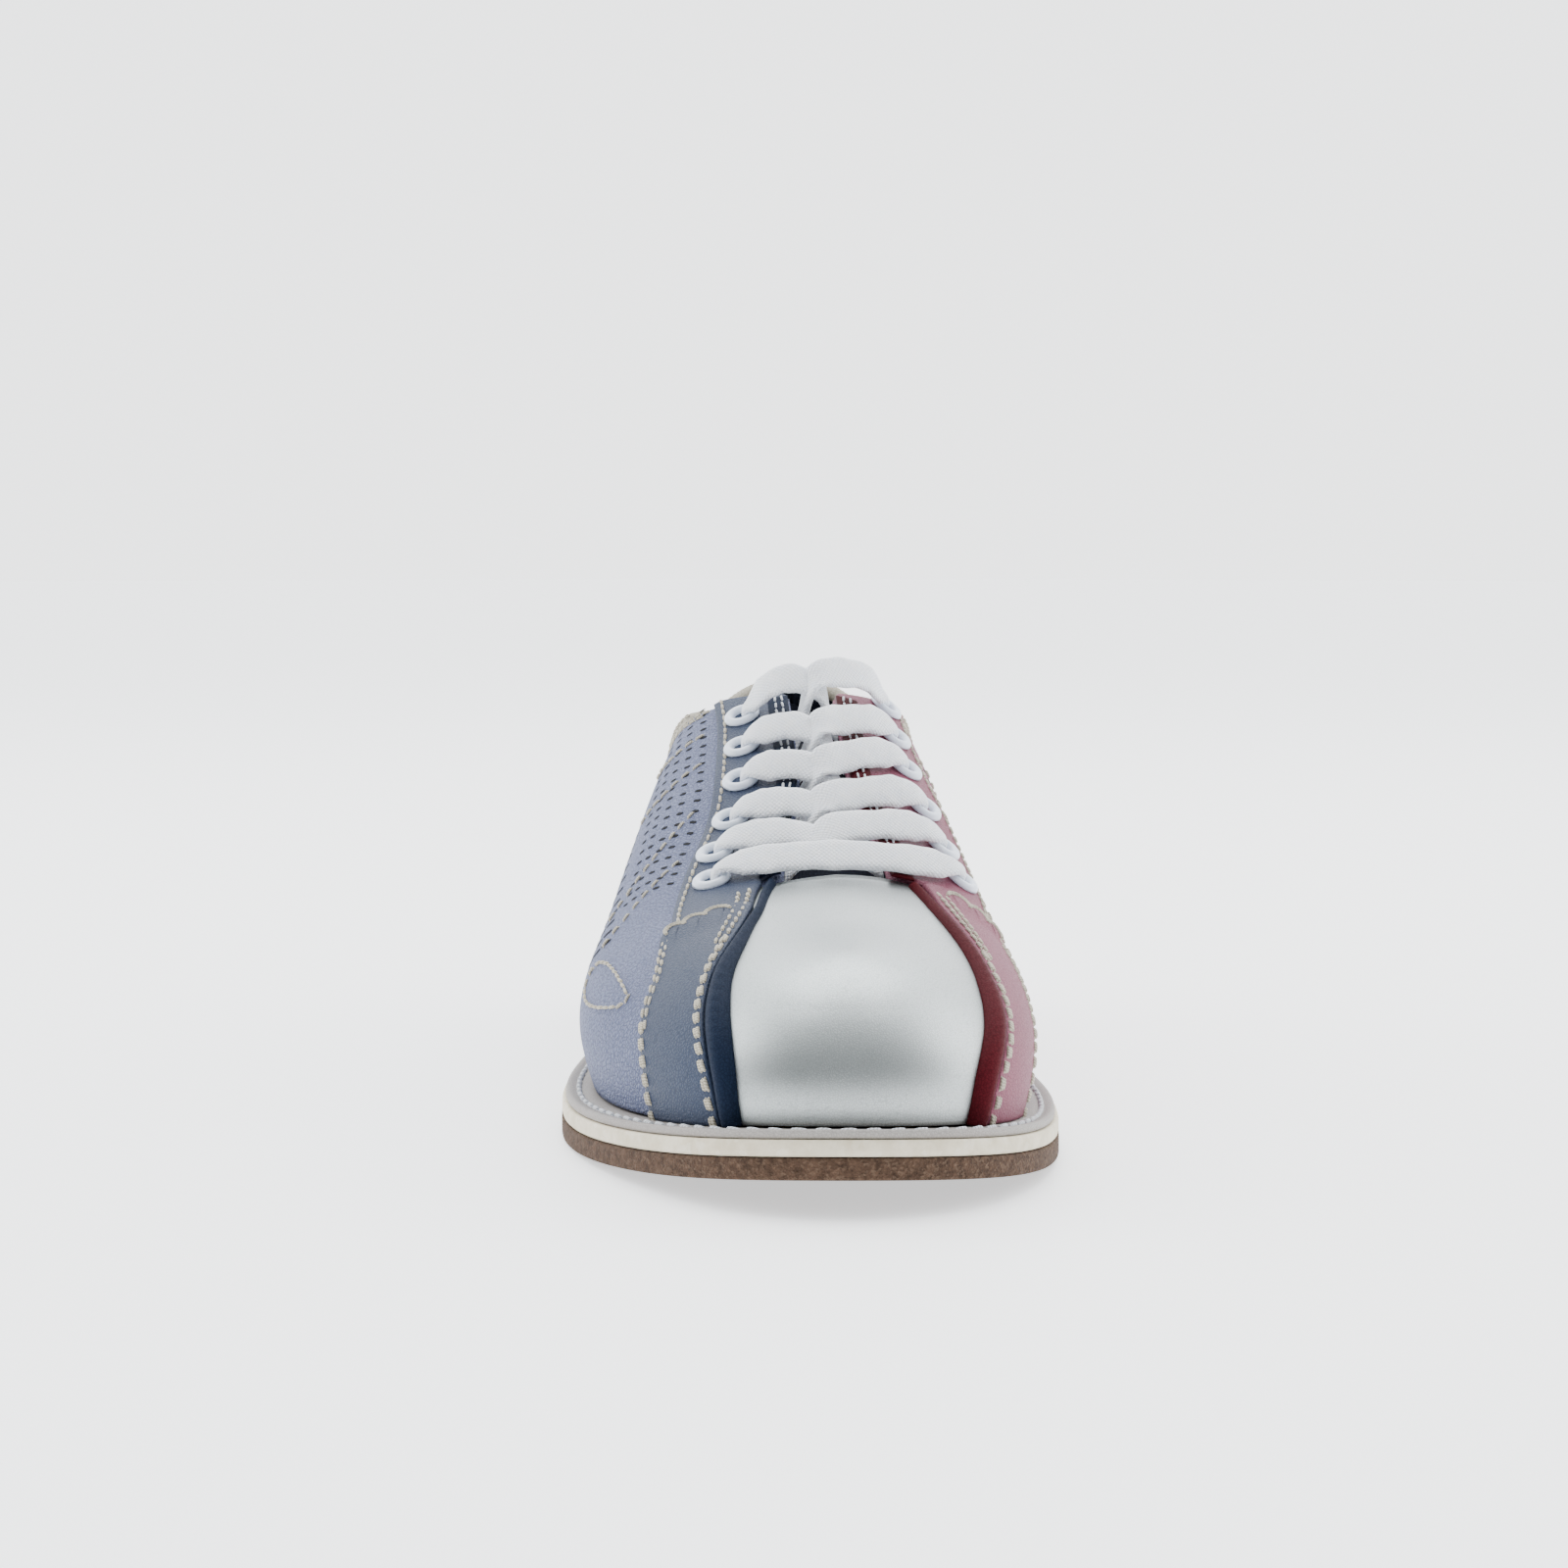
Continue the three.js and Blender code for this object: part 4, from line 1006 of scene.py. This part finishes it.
# Rows are pairs of points, in millimetres, and the directions that face out of the surface.
def sewRows(name, rows, shape, material, pitch, length, width, slant=0.0, looseness=0.08, seed=3):
    points, edges, ups = [], [], []
    for line, normals in rows:
        start = len(points)
        points += list(np.asarray(line) * mm)
        ups += list(normals)
        edges += [(start + k, start + k + 1) for k in range(len(line) - 1)]
    mesh = bpy.data.meshes.new(name + "Path")
    mesh.from_pydata([tuple(q) for q in points], edges, [])
    upward = mesh.attributes.new("up", "FLOAT_VECTOR", "POINT")
    upward.data.foreach_set("vector", np.array(ups, np.float32).ravel())
    guide = linked(name + "Path", mesh)
    nodes = guide.modifiers.new("sewn", "NODES")
    nodes.node_group = rowTree
    values = {"Shape": shape, "Pitch": pitch * mm, "Length": length * mm, "Width": width * mm,
              "Slant": math.radians(slant), "Looseness": looseness, "Seed": seed, "Finish": finishes[material]}
    for item in rowTree.interface.items_tree:
        if item.in_out == "INPUT" and item.name in values:
            nodes[item.identifier] = values[item.name]
    made = evaluatedMesh(guide, keepLayers=True)
    guide.modifiers.clear()
    bpy.data.objects.remove(guide)
    made.shade_smooth()
    return finish(linked(name, made), material)


def onUpper(angle, rise, depth):
    angle, rise = np.broadcast_arrays(np.asarray(angle, float), np.asarray(rise, float))
    return skin(angle, rise, depth), faceNormal(angle, rise)


# About how many millimetres a degree and a full rise cover on the side of the upper.
spread = {"degree": 2.6, "rise": 85}


def throughPoints(side, stops, depth, count=90):
    stops = np.array(stops, float)
    steps = np.hypot(np.diff(stops[:, 0]) * spread["degree"], np.diff(stops[:, 1]) * spread["rise"])
    run = np.concatenate([[0], np.cumsum(steps)])
    t = np.linspace(0, run[-1], count)
    return onUpper(side * profile(*zip(run, stops[:, 0]))(t), profile(*zip(run, stops[:, 1]))(t), depth)


# pitch, length and width of a stitch
stitching = {
    "bold": (3.85, 3.3, 0.95), "double": (3.2, 2.7, 0.8), "arch": (0.95, 1.25, 0.75),
    "fine": (3.5, 2.8, 0.78), "throat": (3.4, 2.8, 0.6), "welt": (5.0, 4.2, 1.2),
}
perforation = {
    "pitch": 5.0, "small": (2.3, 1.15), "long": (4.2, 1.4), "slant": 55,
    "smallRows": 5, "smallStep": 0.043, "longRows": 3, "longStep": 0.055, "longRise": {-1: 0.5, 1: 0.34},
}
# plain slanted lines, each from one angle and rise to another, and the middle of one rounded drop
decoration = {
    "lines": (((78, 0.735), (72, 0.5)), ((86, 0.76), (79, 0.5)), ((95, 0.765), (97, 0.55)), ((101, 0.76), (106, 0.56))),
    "lower": {-1: 0.0, 1: -0.09},
    "drop": {-1: (61, 0.42), 1: (65, 0.34)},
}


def sewSide(side):
    label = sideName[side].title()
    share = np.linspace(0, 1, 160)

    def besideRoll(v, more):
        a, r = rollOuter(side, v)
        b, s = edgeLine(side, "seam", np.clip(v / wingTopShare[side], 0, 1))
        return side * mix(a, b, more), mix(r, s, more)

    def besideSeam(v, less):
        a, r = rollOuter(side, v * wingTopShare[side])
        b, s = edgeLine(side, "seam", v)
        return side * mix(a, b, 1 - less), mix(r, s, 1 - less)

    bold = [onUpper(*besideRoll(mix(0.01, 0.66, share), more), 1.6) for more in (0.06, 0.1)]
    bold += [onUpper(*besideSeam(mix(0.01, 0.5, share), less), 1.55) for less in (0.045, 0.08)]
    sewRows(f"boldStitches{label}", bold, threadShape, "creamThread", *stitching["bold"], slant=6)
    double = [onUpper(*besideRoll(mix(0.67, 0.95, share), more), 1.75) for more in (0.08, 0.17)]
    double += [onUpper(*besideSeam(mix(0.51, 0.98, share), less), 1.55) for less in (0.05, 0.12)]
    sewRows(f"doubleStitches{label}", double, threadShape, "creamThread", *stitching["double"], slant=8)

    # arched double threads along the top of the wing
    arches = []
    top, low = rollOuter(side, wingTopShare[side]), edgeLine(side, "seam", 1.0)
    across = mix(0.25, 1, share)
    for shift in (0.3, 0.85):
        angle = side * (mix(top[0], low[0], across) + scallop(across) - shift)
        arches.append(onUpper(angle, mix(top[1], low[1], across), 2.2))
    sewRows(f"archStitches{label}", arches, threadShape, "creamThread", *stitching["arch"])

    angle = mix(facingFront[side] + 0.8, facingBack(side) - 0.9, share)
    fine = [onUpper(side * angle, facingEdge[side](angle) + 0.02, 1.6)]
    back = mix(facingBack(side) + 0.6, 177, share)
    fine += [onUpper(side * back, topRise(side * back) - drop, 0.15) for drop in (0.024, 0.045)]
    lower = decoration["lower"][side]
    for start, end in decoration["lines"]:
        middle = (mix(start[0], end[0], 0.5) - 1, mix(start[1], end[1], 0.5))
        fine.append(throughPoints(side, [(a, r + lower) for a, r in (start, middle, end)], 0.15))
    turn = np.linspace(0, 2 * np.pi, 160)
    middle = decoration["drop"][side]
    swell = 1 + 0.35 * np.cos(turn)
    fine.append(onUpper(side * (middle[0] + 8.5 * np.cos(turn)), middle[1] + 0.07 * np.sin(turn) * swell, 0.15))
    sewRows(f"fineStitches{label}", fine, threadShape, "creamThread", *stitching["fine"], slant=4)

    throat = mix(shape["throatAngle"] + 2.0, throatBack(side) - 1.5, share)
    rows = [onUpper(side * throat, riseAtGap(side * throat, throatGap(throat) + gap), 2.15) for gap in (1.9, 3.5)]
    sewRows(f"throatStitches{label}", rows, threadShape, "whiteThread", *stitching["throat"])

    small, long = [], []
    for row in range(perforation["smallRows"]):
        angle = mix(74 + row * 0.9, facingBack(side) + 2.5, share)
        small.append(onUpper(side * angle, facingEdge[side](angle) - 0.04 - perforation["smallStep"] * row, 0.05))
    for row in range(perforation["longRows"]):
        rise = perforation["longRise"][side] - perforation["longStep"] * row
        long.append(onUpper(side * mix(72 + row * 1.2, 100 - row * 3, share), rise, 0.05))
    for kind, rows, pitch in (("small", small, perforation["pitch"]), ("long", long, perforation["pitch"] * 1.3)):
        sewRows(f"{kind}Slots{label}", rows, slotShape, "hole", pitch, *perforation[kind],
                slant=perforation["slant"] * -side, looseness=0.03)


for side in (-1, 1):
    sewSide(side)


def sewSole():
    angle = np.linspace(-178.5, 178.5, 500)
    flat = outline(angle, np.full_like(angle, 3.9))
    line = np.column_stack([flat, soleLift(flat[:, 1]) + sole["welt"][1] - 0.4])
    ups = np.tile([0.0, 0.0, 1.0], (len(line), 1))
    sewRows("weltStitches", [(line, ups)], threadShape, "whiteThread", *stitching["welt"], looseness=0.04)


sewSole()
print("stitches sewn")

heel = {
    "strip": 12, "stripTaper": 0.35, "stripTop": 0.97,
    "bindingWide": 5.0, "bindingThick": 3.6, "bindingDepth": -1.7, "bindingRise": 0.019,
}


def buildHeel():
    def strip(u, v):
        angle = 180 + mix(-heel["strip"], heel["strip"], u) * (1 - heel["stripTaper"] * v)
        return angle, v * heel["stripTop"] * topRise(angle)
    obj = upperSheet("heelStrip", (30, 70), (42, 78), strip, 0.02, 1.6)
    finish(obj, "slate", node="heel_strip")
    share = np.linspace(0.02, 0.97, 120)
    rows = []
    for sign in (-1, 1):
        angle = 180 + sign * (heel["strip"] - 1.6) * (1 - heel["stripTaper"] * share)
        rows.append(onUpper(angle, share * heel["stripTop"] * topRise(angle), 1.65))
    sewRows("heelStitches", rows, threadShape, "creamThread", *stitching["fine"])

    angle = np.linspace(shape["cornerAngle"] + 0.8, 359.2 - shape["cornerAngle"], 260)
    rise = topRise(angle) + heel["bindingRise"]
    path = skin(angle, rise, heel["bindingDepth"])
    ends = np.minimum(smooth(angle, angle[0], angle[0] + 3), 1 - smooth(angle, angle[-1] - 3, angle[-1]))
    pucker = 1 + 0.035 * np.sin(angle * 5.1) + 0.02 * np.sin(angle * 11.7)
    size = mix(0.55, 1, ends) * pucker
    wide, thick = heel["bindingWide"] * size, heel["bindingThick"] * size
    obj, _ = bandMesh("collarBinding", path, faceNormal(angle, rise), wide, thick, 20, 2.2)
    finish(obj, "beige", node="collar_binding")
    rows = [onUpper(angle[4:-4], rise[4:-4] - 0.006, 0.75)]
    sewRows("bindingStitches", rows, threadShape, "creamThread", *stitching["fine"])


buildHeel()

pads = {"voxel": 1.7, "pressure": 4.0, "frames": 20, "cuffFirst": 115, "cuffLast": 245}


def coordinates(mesh):
    flat = np.empty(len(mesh.vertices) * 3)
    mesh.vertices.foreach_get("co", flat)
    return flat.reshape(-1, 3)


def applyModifier(obj):
    mesh = evaluatedMesh(obj)
    obj.modifiers.clear()
    obj.data = mesh
    return mesh


# Blows a closed shape up like stuffed cloth; no point moves farther than cap.
def puffUp(obj, cap, mapping):
    remesh = obj.modifiers.new("even", "REMESH")
    remesh.mode, remesh.voxel_size = "VOXEL", pads["voxel"] * mm
    mesh = applyModifier(obj)
    rest = coordinates(mesh)
    stuffed = obj.modifiers.new("stuffed", "CLOTH")
    stuffed.settings.quality = 5
    stuffed.settings.use_pressure = True
    stuffed.settings.uniform_pressure_force = pads["pressure"]
    stuffed.settings.effector_weights.gravity = 0
    stuffed.point_cache.frame_start, stuffed.point_cache.frame_end = 1, pads["frames"]
    for number in range(1, pads["frames"] + 1):
        bpy.context.scene.frame_set(number)
    step = coordinates(obj.evaluated_get(bpy.context.evaluated_depsgraph_get()).data) - rest
    obj.modifiers.clear()
    bpy.context.scene.frame_set(1)
    far = np.linalg.norm(step, axis=1, keepdims=True)
    step *= np.minimum(1, cap * mm / np.maximum(far, 1e-9))
    mesh.vertices.foreach_set("co", (rest + step).ravel())
    finer = obj.modifiers.new("finer", "SUBSURF")
    finer.levels = finer.render_levels = 1
    mesh = applyModifier(obj)
    mesh.shade_smooth()
    writeMap(mesh, mapping(coordinates(mesh)))
    return obj


tongue = {"top": 8.5, "bottom": 12.9, "halfWidth": 18.2, "first": 69.8, "last": 106.4}


def buildPads():
    def leaf(u, v):
        angle = mix(tongue["first"], tongue["last"], v)
        side = np.where(u < 0.5, -1, 1)
        reach = tongue["halfWidth"] * mix(0.82, 1, v) * (1 - 0.28 * smooth(v, 0.9, 1))
        out = np.abs(2 * u - 1)
        return side * angle, mix(1, riseAtGap(side * angle, reach), out)

    def place(u, v, sink):
        angle, rise = leaf(u, v)
        out = np.abs(2 * u - 1)
        thin = 0.7 * smooth(out, 0.75, 1) + 0.6 * smooth(v, 0.93, 1)
        return skin(angle, rise, -tongue["top"] - thin), skin(angle, rise, -tongue["bottom"] + thin)
    obj = sheetMesh("tongue", np.linspace(0, 1, 41), np.linspace(0, 1, 61), (36, 110), place, ())
    puffUp(obj, 0.9, lambda q: np.column_stack([q[:, 0], q[:, 1] * 1.15]))
    finish(obj, "navyCloth", "tongue", ("tongue_outer", "tongue_padding", "tongue_lining"))

    def cuff(u, v):
        angle = mix(pads["cuffFirst"], pads["cuffLast"], u)
        near = np.clip(np.minimum(u, 1 - u) / 0.16, 0, 1)
        half = 0.012 + 0.138 * np.sqrt(1 - (1 - near) ** 2)
        return angle, (0.79 + (2 * v - 1) * half) * topRise(angle)

    def cuffPlace(u, v, sink):
        angle, rise = cuff(u, v)
        swell = np.sin(np.pi * v) * smooth(np.minimum(u, 1 - u), 0, 0.12)
        return skin(angle, rise, -4.35), skin(angle, rise, -6.1 - 1.9 * swell)
    obj = sheetMesh("collarPad", np.linspace(0, 1, 101), np.linspace(0, 1, 21), (150, 25), cuffPlace, ())
    puffUp(obj, 0.8, lambda q: np.column_stack([np.arctan2(q[:, 0], q[:, 1] - 0.1) * 0.045, q[:, 2]]))
    finish(obj, "navyCloth", node="collar_pad")

    def inUpper(more):
        return lambda angle: weltLedge(np.abs(angle)) + layers["lining"] + layers["liningThick"] + 1 + more
    rows = [(inUpper(0.4), 12.75), (inUpper(0), 13.2), (inUpper(0), 15.2), (inUpper(0.3), 15.8), (inUpper(1.2), 16.05)]
    obj = soleSlab("footbedSock", rows)
    finish(obj, "navySock", node="footbed")


buildPads()
print("pads stuffed")


tips = {"length": 14, "width": 2.6, "thick": 2.1}


def buildTips():
    stops = laceStops()
    for label, (angle, rise, depth, _) in (("Outer", stops[0]), ("Inner", stops[-1])):
        t = np.linspace(0, 1, 30)
        path = skin(np.full_like(t, angle), rise - (0.4 + tips["length"] * t) / spread["rise"], np.full_like(t, depth))
        lower = rise - tips["length"] * t / spread["rise"]
        before, after = (face(np.full_like(t, angle + turn), lower) for turn in (-0.5, 0.5))
        taper = np.sqrt(np.clip(np.minimum(t, 1 - t) * 12, 0.1, 1))
        obj, _ = bandMesh(f"laceTip{label}", path, after - before, tips["width"] * taper, tips["thick"] * taper, 16, 2)
        finish(obj, "plastic", node=f"aglet_{label.lower()}")


buildTips()

hiddenFinishes = {
    "forepart_filler": "cork", "heel_seat_filler": "cork", "shank": "steel", "insole_board": "board",
    "vamp_lining": "liningSuede", "toe_puff": "stiffener", "heel_counter": "stiffener",
}
for name, material in hiddenFinishes.items():
    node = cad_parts[name]
    if not node.material_slots:
        node.data.materials.append(finishes[material])
    for place in node.material_slots:
        place.material = finishes[material]
for helper in (threadShape, slotShape):
    bpy.data.objects.remove(helper)
print("hidden layers finished")

view = {"x": -5.0, "back": 772.0, "height": 140.0, "pitch": 4.893, "lens": 72.9, "sensor": 36}
studio = {
    "floor": {"radius": 6000, "height": -0.05, "base": 0.94, "glow": 0.9},
    "wall": {"radius": 5900, "low": -1, "high": 9000, "base": 0.02, "glow": 3.0},
    "corners": 64, "front": 0.08, "back": 3.0, "overhead": 0.9,
}
# place in millimetres, size in metres and power in watts
lamps = {
    "topBox": ((0, 350, 1300), 1.4, 14), "leftBox": ((-1300, 300, 500), 1.0, 7), "rightBox": ((1300, 300, 500), 1.0, 7),
}


def buildStage():
    camera = linked("camera", bpy.data.cameras.new("camera"))
    camera.data.lens = view["lens"]
    camera.data.sensor_width = view["sensor"]
    camera.location = (view["x"] * mm, -view["back"] * mm, view["height"] * mm)
    camera.rotation_euler = (math.radians(90 - view["pitch"]), 0, 0)
    bpy.context.scene.camera = camera

    corners, floor, wall = studio["corners"], studio["floor"], studio["wall"]
    turn = np.linspace(0, 2 * np.pi, corners, endpoint=False)

    def ring(radius, height):
        return np.column_stack([radius * np.cos(turn), radius * np.sin(turn), np.full_like(turn, height)])
    sides = [((i + 1) % corners, i, i + corners, (i + 1) % corners + corners) for i in range(corners)]
    wallPoints = np.vstack([ring(wall["radius"], wall[end]) for end in ("low", "high")])
    for name, points, faces, base, glow in (
        ("studioFloor", ring(floor["radius"], floor["height"]), [tuple(range(corners))], floor["base"], floor["glow"]),
        ("studioWall", wallPoints, sides, wall["base"], wall["glow"]),
    ):
        ground = meshObject(name, points, faces, smoothFaces=False)
        material, tree, shader = newMaterial(name, 0.55)
        coords = objectCoords(tree)
        noise = noiseNode(tree, coords, 3.0, 2.0)
        dim, pale = (base * 0.99, base, base * 1.01, 1), (base * 1.01, base * 1.015, base * 1.02, 1)
        pale = blendColour(tree, noise.outputs["Fac"], dim, pale)
        tree.links.new(pale, shader.inputs["Base Color"])
        shader.inputs["Emission Color"].default_value = (0.97, 0.985, 1, 1)
        shader.inputs["Emission Strength"].default_value = glow
        ground.data.materials.append(material)
    # the wall is a backdrop only, so the studio light passes it
    ground.visible_diffuse = ground.visible_glossy = ground.visible_transmission = ground.visible_shadow = False

    world = bpy.data.worlds.new("studio")
    world.use_nodes = True
    sky = world.node_tree
    direction = add(sky, "ShaderNodeTexCoord").outputs["Generated"]
    parts = add(sky, "ShaderNodeSeparateXYZ", {0: direction})
    backward = ramp(sky, parts.outputs[1], -0.75, 0.7, studio["front"], studio["back"], interpolation_type="SMOOTHSTEP")
    overhead = ramp(sky, parts.outputs[2], 0.1, 0.9, 0.0, studio["overhead"])
    sky.nodes["Background"].inputs[0].default_value = (0.96, 0.98, 1, 1)
    sky.links.new(plus(sky, backward, overhead), sky.nodes["Background"].inputs[1])
    bpy.context.scene.world = world
    for name, (place, size, power) in lamps.items():
        light = bpy.data.lights.new(name, "AREA")
        light.shape, light.size, light.energy = "SQUARE", size, power
        lamp = linked(name, light)
        lamp.location = Vector(place) * mm
        lamp.rotation_euler = (Vector((0, 0, 50)) * mm - lamp.location).to_track_quat("-Z", "Y").to_euler()


buildStage()
